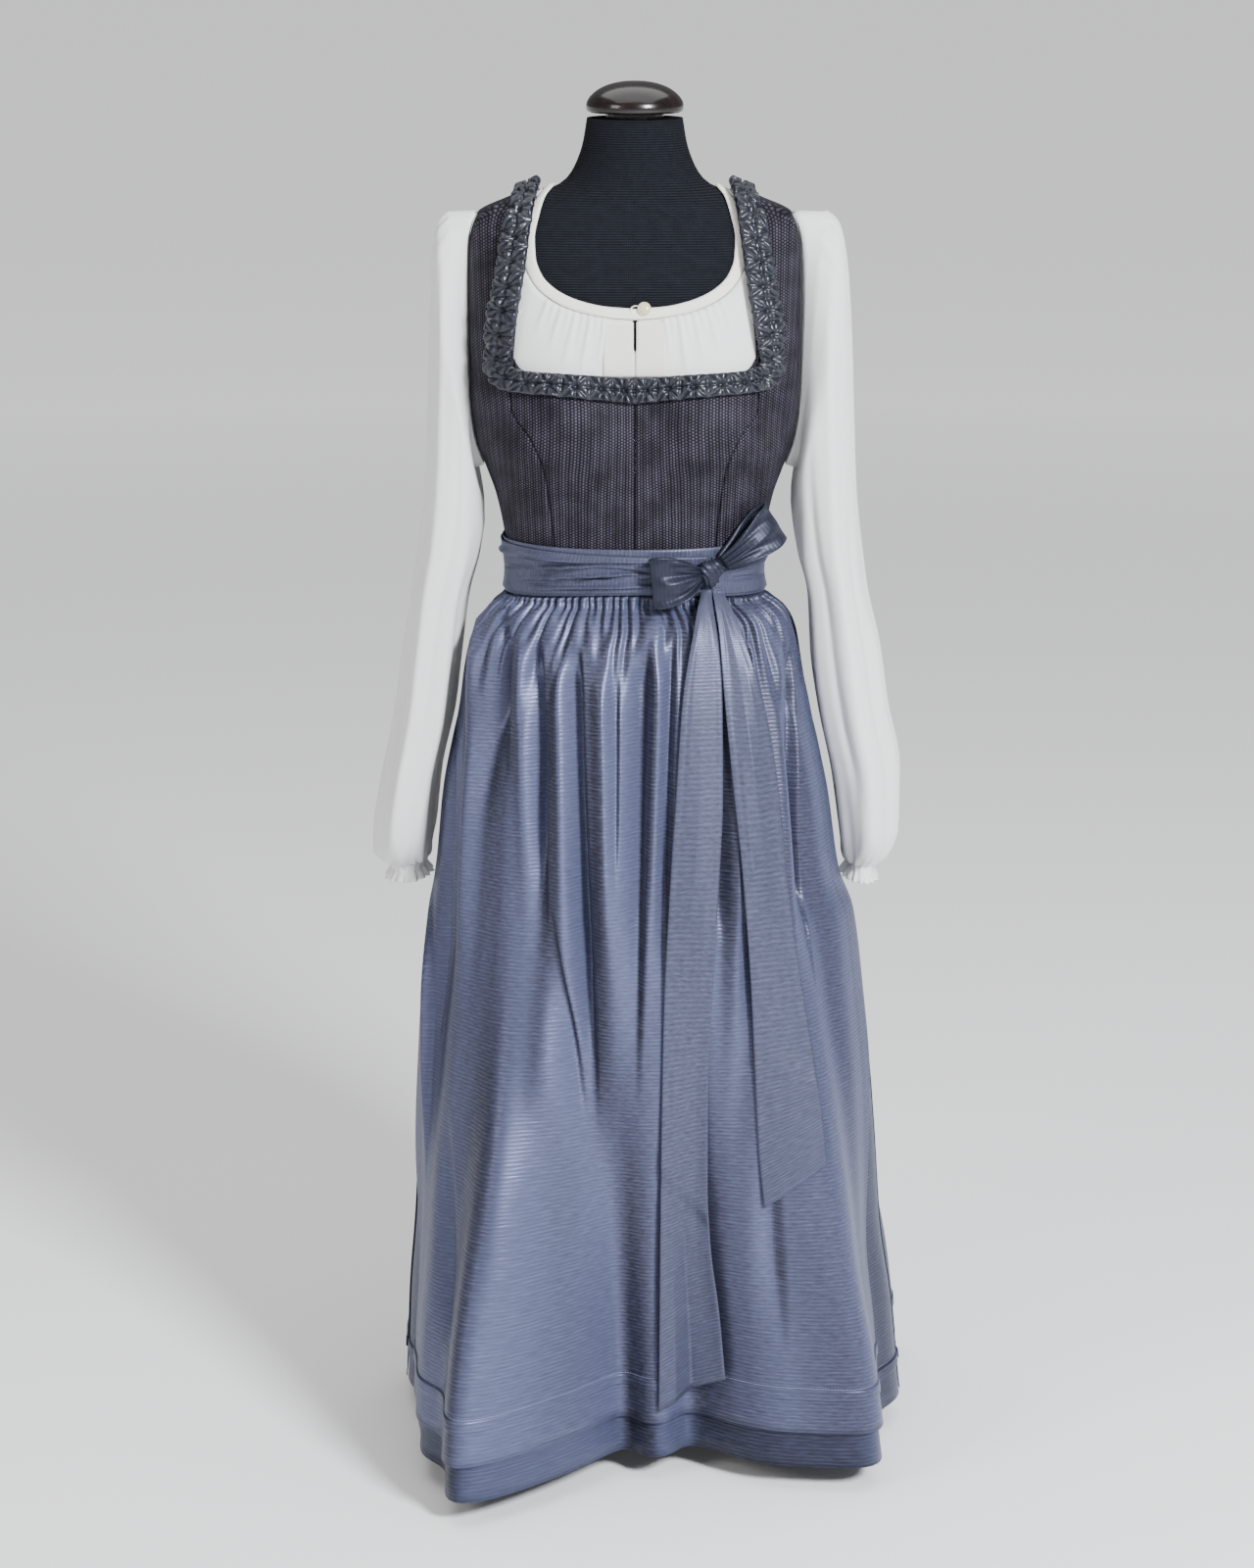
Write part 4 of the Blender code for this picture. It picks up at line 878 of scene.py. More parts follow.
# %% Neckline ruching
TRIM_LIFT = 0.0097
TRIM_WALL = 0.0008
TRIM_UNIT_STEPS = 20
TRIM_ACROSS = 22
STAR_HEIGHT = 0.0066
TRIM_COLUMNS = ("inner_x", "inner_height", "outer_x", "outer_height")
TRIM_FRONT = (
    (0.0950, 1.3370, 0.1215, 1.3268),
    (0.0990, 1.3250, 0.1275, 1.3130),
    (0.1035, 1.3050, 0.1325, 1.2950),
    (0.1105, 1.2500, 0.1395, 1.2450),
    (0.1190, 1.1950, 0.1460, 1.2000),
    (0.1225, 1.1730, 0.1455, 1.1620),
    (0.1120, 1.1650, 0.1280, 1.1440),
    (0.0700, 1.1610, 0.0720, 1.1385),
    (0.0000, 1.1590, 0.0000, 1.1330),
)
TRIM_BACK = (
    (0.0950, 1.3370, 0.1215, 1.3268),
    (0.0985, 1.3250, 0.1270, 1.3130),
    (0.1010, 1.3050, 0.1300, 1.2970),
    (0.1015, 1.2880, 0.1310, 1.2750),
    (0.0980, 1.2700, 0.1260, 1.2500),
    (0.0880, 1.2620, 0.1060, 1.2380),
    (0.0560, 1.2590, 0.0580, 1.2325),
    (0.0000, 1.2580, 0.0000, 1.2310),
)
TRIM_UNITS_FRONT = 15
TRIM_UNITS_BACK = 13
TRIM_HALF_WIDTH = 0.0135
TRIM_FULLNESS = 2.2


def star(along, across):
    """Height of a pinched pleat, 0 to 1. along is -0.5..0.5 over the unit, across -1..1 over the strip."""
    radius = np.hypot(along * 2, across)
    ray = np.abs(np.sin(np.arctan2(across, along * 2) * 4))
    facet = np.minimum(ray * 1.25, 1) ** 0.7
    rise = np.clip(radius / 0.45, 0, 1) ** 0.8
    edge = np.clip((1 - np.abs(across)) / 0.16, 0, 1) ** 0.5
    between_units = 1 - 0.55 * np.exp(-(((np.abs(along) - 0.5) / 0.06) ** 2))
    return (0.25 + 0.75 * facet) * rise * (0.45 + 0.55 * edge) * between_units


def along_by_length(run, side, count):
    """Row numbers that are evenly spaced by length along a strip's middle line."""
    dense = np.linspace(0, 1, 400)
    x = (run["inner_x"](dense) + run["outer_x"](dense)) / 2
    z = (run["inner_height"](dense) + run["outer_height"](dense)) / 2
    line = on_form(turn_of(x, z), z, side)
    length = np.concatenate([[0], np.cumsum(np.linalg.norm(np.diff(line, axis=0), axis=1))])
    return np.interp(np.linspace(0, length[-1], count), length, dense), length[-1]


def ruching(name, table, units, side, node):
    run = by_row(TRIM_COLUMNS, table)
    steps = units * TRIM_UNIT_STEPS
    along, length = along_by_length(run, side, steps + 1)
    edges = {}
    for label in TRIM_COLUMNS:
        sign = -1 if label.endswith("x") else 1
        half = run[label](along)
        edges[label] = np.concatenate([sign * half[:-1], half[::-1]])
    for label in ("inner_x", "outer_x"):
        edges[label][0] = -1.0
        edges[label][-1] = 1.0
    number = np.arange(2 * steps + 1) / TRIM_UNIT_STEPS
    unit = (number % 1.0) - 0.5
    across = np.linspace(-1, 1, TRIM_ACROSS + 1)
    rise = STAR_HEIGHT * star(unit[:, None], across[None, :])
    uneven = 1 + 0.12 * np.sin(number * 2.3) + 0.08 * np.sin(number * 5.1 + 1)
    from_end = np.minimum(number, number[-1] - number)
    rise = rise * (uneven * (0.3 + 0.7 * ease_in(from_end / 0.35)))[:, None]
    places, _ = panel((edges["inner_x"], edges["inner_height"]), (edges["outer_x"], edges["outer_height"]),
                      TRIM_ACROSS, side, TRIM_LIFT + TRIM_WALL, rise=rise)
    metres = np.linspace(0, 2 * length * TRIM_FULLNESS, 2 * steps + 1)
    flat = np.stack(np.meshgrid(across * TRIM_HALF_WIDTH, metres), axis=-1)
    piece = surface(name, places, flat=flat, inside_out=facing_in(places))
    thicken(piece, TRIM_WALL)
    finish_sheet(piece, trim_satin, [node])
    return piece


ruching("neckline_ruching_front_cloth", TRIM_FRONT, TRIM_UNITS_FRONT, -1, "neckline_ruching_front")
ruching("neckline_ruching_back_cloth", TRIM_BACK, TRIM_UNITS_BACK, 1, "neckline_ruching_back")

# %% [markdown]
# The blouse's front and back run from a bias neckband down under the bodice. Small gathers fan out below
# the band on both sides of the plain placket.

# %% Blouse tables
BLOUSE_LIFT = 0.0028
BLOUSE_WALL = 0.0009
BLOUSE_OUT = 0.0011
BACK_BLOUSE_CLOSER = 0.0025
NECKBAND_LIFT = 0.0009
NECKBAND_OUT = 0.0029
NECKBAND_WALL = 0.0012
NECKBAND_ROUNDING = 0.0016
BAND_COLUMNS = ("inner_x", "inner_height", "outer_x", "outer_height")
NECK_FRONT = (
    (0.0840, 1.3425, 0.0960, 1.3365),
    (0.0925, 1.3330, 0.1040, 1.3270),
    (0.0985, 1.3150, 0.1100, 1.3110),
    (0.1025, 1.2950, 0.1140, 1.2930),
    (0.1015, 1.2760, 0.1130, 1.2700),
    (0.0950, 1.2590, 0.1050, 1.2520),
    (0.0800, 1.2450, 0.0860, 1.2345),
    (0.0560, 1.2345, 0.0590, 1.2230),
    (0.0290, 1.2290, 0.0300, 1.2175),
    (0.0000, 1.2270, 0.0000, 1.2155),
)
NECK_BACK = (
    (0.0840, 1.3425, 0.0960, 1.3365),
    (0.0910, 1.3330, 0.1025, 1.3270),
    (0.0940, 1.3180, 0.1060, 1.3140),
    (0.0900, 1.3010, 0.1010, 1.2940),
    (0.0760, 1.2880, 0.0830, 1.2780),
    (0.0500, 1.2800, 0.0530, 1.2685),
    (0.0250, 1.2765, 0.0260, 1.2650),
    (0.0000, 1.2755, 0.0000, 1.2640),
)
BLOUSE_COLUMNS = ("x", "height")
BLOUSE_OUTER = (
    (0.1590, 1.3100),
    (0.1600, 1.3090),
    (0.1610, 1.3065),
    (0.1620, 1.3020),
    (0.1640, 1.2850),
    (0.1650, 1.2550),
    (0.1650, 1.2100),
    (0.1640, 1.1500),
    (0.1580, 1.0850),
    (0.1500, 1.0600),
    (0.1280, 1.0600),
    (0.1030, 1.0600),
    (0.0780, 1.0600),
    (0.0520, 1.0600),
    (0.0260, 1.0600),
    (0.0000, 1.0600),
)
BLOUSE_STEPS = 140
SLIT_HALF_WIDTH = 0.0026
SLIT_END = 1.1860
NECK_GATHERS = (
    # where along the half run, how long in metres, how high in metres
    (0.885, 0.045, 0.0024),
    (0.860, 0.030, 0.0020),
    (0.834, 0.062, 0.0030),
    (0.806, 0.034, 0.0021),
    (0.777, 0.055, 0.0026),
    (0.749, 0.030, 0.0020),
    (0.721, 0.045, 0.0024),
    (0.692, 0.026, 0.0018),
    (0.662, 0.036, 0.0018),
)


def half_run(columns, table, steps):
    """Edges that run from the left shoulder through the centre to the right one."""
    run = by_row(columns, table)
    along = np.linspace(0, 1, steps + 1) ** 1.25
    parts = {"along": np.concatenate([along[:-1], along[::-1]])}
    for name in columns:
        values = run[name](along)
        sign = -1 if name.endswith("x") else 1
        parts[name] = np.concatenate([sign * values[:-1], values[::-1]])
        if sign < 0:
            parts[name][0] = -1.0
            parts[name][-1] = 1.0
    return parts


def gathers_below_band(along, metres):
    """Height of the small gathers at points of the blouse."""
    rise = 0 * metres
    for where, long, high in NECK_GATHERS:
        fade = np.clip(1 - metres / long, 0, 1)
        rise = rise + 2.2 * high * np.exp(-(((along[:, None] - where) / 0.0085) ** 2)) * fade**0.8
    return rise


def cut_slit(piece, half_width, low):
    """Opens the cloth down the centre front, from the neckband to the slit's end."""
    bpy.ops.object.select_all(action="DESELECT")
    piece.select_set(True)
    bpy.context.view_layer.objects.active = piece
    bpy.ops.object.mode_set(mode="EDIT")
    bpy.ops.mesh.select_mode(type="FACE")
    bpy.ops.mesh.select_all(action="DESELECT")
    bpy.ops.object.mode_set(mode="OBJECT")
    for face in piece.data.polygons:
        face.select = abs(face.center.x) < half_width and face.center.z > low
    bpy.ops.object.mode_set(mode="EDIT")
    bpy.ops.mesh.delete(type="FACE")
    bpy.ops.object.mode_set(mode="OBJECT")


def blouse_panel(label, side, table):
    band = half_run(BAND_COLUMNS, table, BLOUSE_STEPS)
    inner = (band["inner_x"], band["inner_height"])
    outer = (band["outer_x"], band["outer_height"])
    rounding = -NECKBAND_ROUNDING * np.linspace(-1, 1, 9)[None, :] ** 4
    places, flat = panel(inner, outer, 8, side, NECKBAND_LIFT + NECKBAND_OUT, rise=rounding)
    piece = surface(f"blouse_neckband_{label}_cloth", places, flat=flat, inside_out=facing_in(places))
    thicken(piece, NECKBAND_WALL)
    finish_sheet(piece, band_crepe, [f"blouse_neckband_{label}"])
    edge = half_run(BLOUSE_COLUMNS, BLOUSE_OUTER, BLOUSE_STEPS)
    hole_x = np.sign(edge["x"]) * armhole_x(edge["height"])
    end_x = np.where(edge["height"] > 1.062, hole_x, edge["x"])
    end_x[0] = -1.0
    end_x[-1] = 1.0
    low = (np.abs(edge["height"] - 1.06) < 0.0015) & (np.abs(edge["x"]) > 0.146)
    end_x = np.where(low, np.sign(end_x), end_x)
    last = (end_x, edge["height"])
    steps = 34
    shares = np.linspace(0, 1, steps + 1)
    plain, _ = panel(outer, last, steps, side, 0.0)
    long = np.linalg.norm(np.diff(plain, axis=1), axis=2).sum(axis=1)
    rise = gathers_below_band(band["along"], long[:, None] * shares)
    closer = BACK_BLOUSE_CLOSER if side > 0 else 0
    places, flat = panel(outer, last, steps, side, BLOUSE_LIFT + BLOUSE_OUT - closer, seam_first=SEAM / 2,
                         rise=rise)
    piece = surface(f"blouse_{label}_cloth", places, flat=flat, inside_out=facing_in(places))
    if side < 0:
        cut_slit(piece, SLIT_HALF_WIDTH, SLIT_END)
    thicken(piece, BLOUSE_WALL)
    finish_sheet(piece, blouse_crepe, [f"blouse_{label}"])


blouse_panel("front", -1, NECK_FRONT)
blouse_panel("back", 1, NECK_BACK)

# %% [markdown]
# The placket: two plain faced pieces that meet at the slit below the button. They lie on the blouse, so they
# are made from the same points moved out.

# %% Placket
PLACKET_TOP = 1.2135
PLACKET_LOW = 1.1600
PLACKET_WIDE = 0.0335
PLACKET_OVER = 0.0016
PLACKET_WALL = 0.0006


def build_placket():
    heights = np.linspace(PLACKET_TOP, PLACKET_LOW, 25)
    for label, sign in (("left", -1), ("right", 1)):
        gap = np.where(heights > SLIT_END, 0.0013, 0.0003)
        shares = np.linspace(0, 1, 17)
        x = between(gap, np.full(25, PLACKET_WIDE), shares)
        z = heights[:, None] + 0 * x
        metres = x - gap[:, None]
        lift = BLOUSE_LIFT + BLOUSE_OUT + PLACKET_OVER - 0.0008 * np.exp(-((metres / 0.0012) ** 2))
        lift = lift - 0.0012 * np.exp(-(((x - PLACKET_WIDE) / 0.0010) ** 2))
        places = on_form(turn_of(x, z), z, -1, lift)
        places[..., 0] *= sign
        flat = np.stack([x, PLACKET_TOP - z], axis=-1)
        piece = surface(f"blouse_placket_{label}_cloth", places, flat=flat, inside_out=facing_in(places))
        thicken(piece, PLACKET_WALL)
        finish_sheet(piece, band_crepe, [f"blouse_placket_{label}"])


build_placket()

# %% [markdown]
# The button is a little pearl dome on a shank with a pressed rim, held by a thread loop.

# %% Button and its loop
BUTTON_X = 0.0095
BUTTON_Z = 1.2265
BUTTON_SHAPE = (
    # radius, height above the band
    (0.0000, 0.0046),
    (0.0020, 0.0045),
    (0.0040, 0.0040),
    (0.0052, 0.0031),
    (0.0056, 0.0026),
    (0.0062, 0.0029),
    (0.0068, 0.0022),
    (0.0066, 0.0010),
    (0.0050, 0.0004),
    (0.0000, 0.0003),
)


def build_button():
    centre = on_form(np.array(turn_of(BUTTON_X, BUTTON_Z)), BUTTON_Z, -1)
    out = outward(centre, -1.0)
    centre = centre + out * (NECKBAND_LIFT + NECKBAND_OUT)
    sideways = np.cross(np.array([0.0, 0.0, 1.0]), out)
    sideways /= np.linalg.norm(sideways)
    up = np.cross(out, sideways)
    run = by_row(("radius", "height"), BUTTON_SHAPE)
    along = np.linspace(0, 1, 37)
    turns = np.radians(np.linspace(0, 360, 49))
    radius = run["radius"](along)[:, None, None]
    lift = run["height"](along)[:, None, None]
    ring = sideways * np.cos(turns)[:, None] + up * np.sin(turns)[:, None]
    places = centre + radius * ring[None] + lift * out
    return surface("blouse_pearl_button", places, closed=True), centre, out, sideways, up


button, button_centre, button_out, button_side, button_up = build_button()
dress(button, pearl, ["blouse_button"])


def tube(name, line, radius, around=10, closed=False):
    """A round cord along a line of points."""
    line = np.asarray(line, float)
    if closed:
        way = np.roll(line, -1, axis=0) - np.roll(line, 1, axis=0)
    else:
        way = np.gradient(line, axis=0)
    way /= np.linalg.norm(way, axis=1, keepdims=True)
    first = np.cross(way, np.array([0.0, 0.0, 1.0]) + 0.01)
    first /= np.linalg.norm(first, axis=1, keepdims=True)
    for k in range(1, len(first)):
        turned_on = first[k - 1] - way[k] * (first[k - 1] @ way[k])
        first[k] = turned_on / np.linalg.norm(turned_on)
    second = np.cross(way, first)
    turns = np.radians(np.linspace(0, 360, around + 1))
    radius = np.broadcast_to(radius, len(line))[:, None, None]
    rim = first[:, None] * np.cos(turns)[:, None] + second[:, None] * np.sin(turns)[:, None]
    rings = line[:, None] + radius * rim
    if closed:
        rings = np.concatenate([rings, rings[:1]])
    else:
        ends = [np.broadcast_to(line[k], rings[0].shape) for k in (0, -1)]
        rings = np.concatenate([ends[0][None], rings, ends[1][None]])
    return surface(name, rings, closed=True)


LOOP_WIDE = 0.0052
LOOP_TALL = 0.0042
LOOP_ASIDE = 0.0085
LOOP_THREAD = 0.0006


def thread_loop():
    """The loop's thread, open towards the button."""
    aside = -math.copysign(LOOP_ASIDE, button_side[0])
    line = []
    for turn in np.radians(np.linspace(-55, 235, 22)):
        place = button_centre + button_out * 0.0010 + button_side * (LOOP_WIDE * math.cos(turn) + aside)
        line.append(place + button_up * (LOOP_TALL * math.sin(turn) - 0.0012))
    return tube("button_thread_loop", line, LOOP_THREAD)


dress(thread_loop(), band_crepe)
print("button", [round(float(v), 4) for v in button_centre])

# %% [markdown]
# Skirt and apron share one face. It starts from oval sections, and every fold pushes that face in or out
# along its own line. Large folds shape the hem, knife-edged folds fall from the waist, and the little
# gathers at the waistband are sown by a seeded table.

# %% Sections and folds of the skirt
SKIRT_COLUMNS = ("height", "middle_x", "half_width", "front", "back")
SKIRT = (
    (0.028, 0.020, 0.2780, 0.270, 0.290),
    (0.137, 0.017, 0.2700, 0.252, 0.272),
    (0.228, 0.014, 0.2590, 0.240, 0.256),
    (0.318, 0.013, 0.2530, 0.229, 0.243),
    (0.407, 0.012, 0.2460, 0.218, 0.231),
    (0.496, 0.009, 0.2360, 0.206, 0.218),
    (0.583, 0.008, 0.2240, 0.193, 0.206),
    (0.626, 0.003, 0.2130, 0.187, 0.199),
    (0.712, 0.001, 0.2020, 0.174, 0.186),
    (0.797, 0.000, 0.1840, 0.160, 0.172),
    (0.840, -0.001, 0.1760, 0.151, 0.163),
    (0.882, 0.000, 0.1660, 0.139, 0.150),
    (0.902, 0.002, 0.1560, 0.127, 0.135),
    (0.914, 0.001, 0.1440, 0.114, 0.118),
    (0.922, 0.000, 0.1325, 0.1020, 0.1030),
    (0.935, 0.000, 0.1310, 0.1000, 0.0985),
)
HEM_FOLDS = (
    # degrees round at the top and at the hem, half width in degrees, reach, heights where the fold starts,
    # is fullest and ends
    (-37.0, -33.0, 8.5, 0.100, 0.60, 0.03, -0.50),
    (-54.0, -50.0, 10.0, 0.036, 0.60, 0.03, -0.50),
    (-8.0, -10.0, 10.0, -0.085, 0.64, 0.03, -0.50),
    (9.0, 13.0, 14.0, -0.100, 0.66, 0.03, -0.50),
    (42.0, 47.0, 9.0, 0.045, 0.60, 0.03, -0.50),
    (70.0, 72.0, 10.0, -0.018, 0.62, 0.03, -0.50),
    (-78.0, -82.0, 10.0, -0.020, 0.60, 0.03, -0.50),
    (-15.0, -17.0, 5.5, -0.020, 0.80, 0.50, 0.28),
    (-34.0, -26.0, 5.5, -0.012, 0.90, 0.68, 0.30),
    (-51.0, -52.0, 5.0, -0.010, 0.93, 0.82, 0.66),
    (5.0, 4.0, 6.0, -0.011, 0.90, 0.70, 0.42),
    (24.0, 26.0, 6.0, -0.012, 0.91, 0.62, 0.25),
    (56.0, 58.0, 6.0, -0.012, 0.91, 0.66, 0.20),
    (-66.0, -64.0, 6.0, -0.012, 0.88, 0.60, 0.20),
    (104.0, 104.0, 9.0, -0.022, 0.90, 0.03, -0.50),
    (126.0, 127.0, 13.0, 0.062, 0.80, 0.03, -0.50),
    (149.0, 150.0, 9.0, -0.020, 0.90, 0.03, -0.50),
    (168.0, 167.0, 10.0, 0.018, 0.90, 0.03, -0.50),
    (187.0, 188.0, 8.0, -0.022, 0.90, 0.03, -0.50),
    (207.0, 206.0, 11.0, 0.024, 0.90, 0.03, -0.50),
    (228.0, 229.0, 8.0, -0.020, 0.90, 0.03, -0.50),
    (246.0, 247.0, 10.0, 0.016, 0.90, 0.03, -0.50),
)
LINE_FOLDS = (
    # seen from the front: x and height where the fold starts, the same where it ends, its half width, how far
    # it stands out, and its steep side
    (-0.131, 0.935, -0.131, 0.740, 0.0120, -0.0065, 1),
    (-0.114, 0.915, -0.112, 0.520, 0.0100, 0.0040, 0),
    (-0.158, 0.910, -0.186, 0.480, 0.0160, 0.0060, 0),
    (-0.180, 0.860, -0.214, 0.420, 0.0130, -0.0055, 1),
    (-0.097, 0.895, -0.094, 0.580, 0.0140, -0.0085, 1),
    (-0.094, 0.660, -0.057, 0.380, 0.0200, -0.0075, 1),
    (-0.078, 0.900, -0.070, 0.480, 0.0085, 0.0035, 0),
    (-0.058, 0.895, -0.046, 0.380, 0.0140, -0.0095, 1),
    (-0.034, 0.880, -0.030, 0.500, 0.0090, 0.0040, 0),
    (-0.018, 0.870, -0.020, 0.620, 0.0070, -0.0030, 1),
    (0.013, 0.900, -0.001, 0.400, 0.0200, -0.0095, 1),
    (0.026, 0.890, 0.018, 0.560, 0.0080, 0.0035, 0),
    (0.040, 0.915, 0.030, 0.500, 0.0100, -0.0060, 1),
    (0.098, 0.900, 0.108, 0.380, 0.0110, 0.0070, 0),
    (0.118, 0.905, 0.130, 0.560, 0.0090, -0.0055, 1),
    (0.140, 0.895, 0.166, 0.500, 0.0120, 0.0050, 0),
    (0.158, 0.885, 0.190, 0.500, 0.0110, -0.0060, 1),
    (-0.212, 0.640, -0.224, 0.280, 0.0160, 0.0060, 1),
    (-0.190, 0.420, -0.150, 0.100, 0.0180, -0.0060, 1),
    (-0.120, 0.460, -0.100, 0.120, 0.0180, 0.0050, 0),
    (0.140, 0.420, 0.160, 0.140, 0.0180, -0.0050, 1),
)
BACK_FOLDS = (
    # degrees round at the waist and lower down, heights, width in degrees, reach, steep side
    (98.0, 97.0, 0.925, 0.600, 4.0, 0.0065, 1),
    (112.0, 114.0, 0.925, 0.420, 4.5, 0.0070, -1),
    (134.0, 137.0, 0.925, 0.520, 4.0, 0.0080, 1),
    (143.0, 143.0, 0.925, 0.360, 4.0, -0.0060, 0),
    (158.0, 158.0, 0.925, 0.560, 4.0, 0.0075, -1),
    (176.0, 177.0, 0.925, 0.300, 4.5, 0.0080, 1),
    (197.0, 198.0, 0.925, 0.480, 4.0, 0.0070, -1),
    (216.0, 217.0, 0.925, 0.380, 4.5, 0.0075, 1),
    (236.0, 238.0, 0.925, 0.560, 4.0, 0.0070, -1),
    (255.0, 254.0, 0.925, 0.460, 4.0, 0.0065, 1),
)
FOLD_GAIN = 1.8
skirt = by_first(SKIRT_COLUMNS, SKIRT)


def ridge(away, width, lean):
    """A soft ridge; with a lean, one of its sides is steep."""
    steep = np.where(away * lean > 0, 0.20, 1.0)
    return np.exp(-((away / (width * steep)) ** 2))


def fold_push(angle, z):
    """How far all folds below the gathers move the face out, in metres."""
    push = 0 * angle + 0 * z
    for top, hem, width, reach, starts, fullest, ends in HEM_FOLDS:
        share = np.clip((0.93 - z) / 0.90, 0, 1)
        away = (angle - top - (hem - top) * share + 180) % 360 - 180
        grown = np.minimum((starts - z) / (starts - fullest), (z - ends) / (fullest - ends))
        push = push + reach * ease_in(grown) * np.exp(-((away / width) ** 2))
    radius = skirt["half_width"](z) * 0.5 + skirt["front"](z) * 0.5
    for x_top, z_top, x_low, z_low, width, reach, lean in LINE_FOLDS:
        share = np.clip((z_top - z) / (z_top - z_low), 0, 1)
        x = x_top + (x_low - x_top) * share - skirt["middle_x"](z)
        centre = np.degrees(np.arcsin(np.clip(x / skirt["half_width"](z), -0.995, 0.995)))
        away = np.radians((angle - centre + 180) % 360 - 180) * radius
        tall = z_top - z_low
        start = 0.05 if z_top > 0.8 else 0.16
        grown = ease_in((z_top - z) / start) * ease_in((z - z_low) / (0.45 * tall))
        push = push + FOLD_GAIN * reach * grown * ridge(away, width, lean)
    for top, low, z_top, z_low, width, reach, lean in BACK_FOLDS:
        share = np.clip((z_top - z) / (z_top - z_low), 0, 1)
        away = (angle - top - (low - top) * share + 180) % 360 - 180
        grown = ease_in((z_top - z) / 0.05) * ease_in((z - z_low) / (0.45 * (z_top - z_low)))
        push = push + reach * grown * ridge(away, width, lean)
    return push


def skirt_face(angle, z, lift, wave=0.0):
    """Points of the skirt's outer face, moved out by lift."""
    angle = np.asarray(angle, float)
    z = np.asarray(z, float) + 0 * angle
    turn = np.radians(angle)
    wide = skirt["half_width"](z)
    deep = np.where(np.cos(turn) > 0, skirt["front"](z), skirt["back"](z))
    n = np.interp(z, [0.90, 0.92], [2.0, 2.2])
    part = np.abs(np.sin(turn))
    rest = np.maximum(1 - part**n, 0) ** (1 / n)
    x = wide * np.sin(turn)
    y = -deep * rest * np.sign(np.cos(turn))
    nx = np.sign(np.sin(turn)) * part ** (n - 1) / wide
    ny = -np.sign(np.cos(turn)) * rest ** (n - 1) / deep
    size = np.hypot(nx, ny)
    push = fold_push(angle, z) + lift + wave
    return np.stack([skirt["middle_x"](z) + x + push * nx / size, y + push * ny / size, z], axis=-1)


print("folds", len(HEM_FOLDS) + len(LINE_FOLDS) + len(BACK_FOLDS))

# %% [markdown]
# The gathers: about one every ten millimetres at the band. Narrow dark troughs between round ridges look
# like the real thing, so each gather is a trough with its own depth and length. They die out lower down,
# some sooner than others.

# %% Gathers
GATHER_PITCH = 3.9
GATHER_ENDS = (0.900, 0.888, 0.872, 0.850, 0.815, 0.770)
rng = np.random.default_rng(7)
gather_angles = np.arange(-96.0, 263.0, GATHER_PITCH)
gather_angles = gather_angles + rng.uniform(-0.9, 0.9, len(gather_angles))
gather_ends = rng.choice(GATHER_ENDS, len(gather_angles)) + rng.uniform(-0.008, 0.008, len(gather_angles))
gather_depth = rng.uniform(0.0042, 0.0078, len(gather_angles))
gather_lean = rng.uniform(-5.0, 5.0, len(gather_angles))


def gathers(angle, z):
    """Height of the gathers below the waistband: narrow troughs between round ridges."""
    push = 0 * angle + 0 * z
    for at, end, deep, lean in zip(gather_angles, gather_ends, gather_depth, gather_lean):
        share = np.clip((0.935 - z) / (0.935 - end), 0, 1)
        away = (angle - at - lean * share * share + 180) % 360 - 180
        width = 0.80 + 1.5 * share
        fade = ease_in(1.15 - share) * np.clip((0.942 - z) / 0.014, 0.35, 1)
        push = push - deep * fade * np.exp(-((away / width) ** 2))
    rise = np.interp(z, [0.78, 0.87, 0.915, 0.935], [0.0, 0.0016, 0.0024, 0.0012])
    return push + rise


TUCK_DEEP = 0.0125
TUCK_LIP = 0.0021


def tuck(z, seam):
    """A stitched tuck: pressed in at the seam and hanging as a lip below it."""
    below = seam - z
    lip = ease_in(below / 0.0016) * ease_in((TUCK_DEEP - below) / 0.0010)
    return TUCK_LIP * lip - 0.0006 * np.exp(-((below / 0.0011) ** 2))


def hem_roll(z, hem):
    """The hem's own double fold is a little thicker, with a pressed edge."""
    return 0.0005 * ease_in((hem + 0.003 - z) / 0.003)


# %% [markdown]
# The tucks are sewn with a paler thread. One long tube follows the seam, thick where a stitch shows and thin
# where it dives into the cloth, so hundreds of stitches are one mesh. A last helper spaces a panel's rows,
# closer together beside its seams.

# %% Stitches and rows
STITCH_PITCH = 0.0032
STITCH_RADIUS = 0.00042
ROWS_BY_SEAM = (0.003, 0.0012, 0.0004, 0.0, -0.0006, -0.0014, -0.003, -0.007, -0.0108, -0.0116, -0.0122,
                -0.0128, -0.015)


def stitches(name, line):
    """A thread along a seam: thick where a stitch shows, thin where it dives into the cloth."""
    step = np.linalg.norm(np.diff(line, axis=0), axis=1)
    along = np.concatenate([[0], np.cumsum(step)])
    count = int(along[-1] / STITCH_PITCH)
    places = np.linspace(0, along[-1], count * 4 + 1)
    line = np.stack([np.interp(places, along, line[:, k]) for k in range(3)], axis=-1)
    radius = STITCH_RADIUS * np.clip(np.sin(np.arange(len(line)) * math.pi / 4) ** 2, 0.2, 1)
    print(name, count, "stitches")
    return dress(tube(name, line, radius, around=6), pale_thread)


def rows_between(top, bottom, count, seams):
    """Heights down a panel, closer together beside its seams."""
    heights = list(bottom + (top - bottom) * (1 - (1 - np.linspace(1, 0, count)) ** 1.25))
    for seam in seams:
        heights += [seam + above for above in ROWS_BY_SEAM]
    return np.array(sorted((h for h in set(heights) if bottom <= h <= top), reverse=True))


# %% [markdown]
# The dress skirt is a gathered front and back panel, with one tuck above the hem all round. The front lies
# close under the apron, so it keeps the same folds and stays a few millimetres inside.

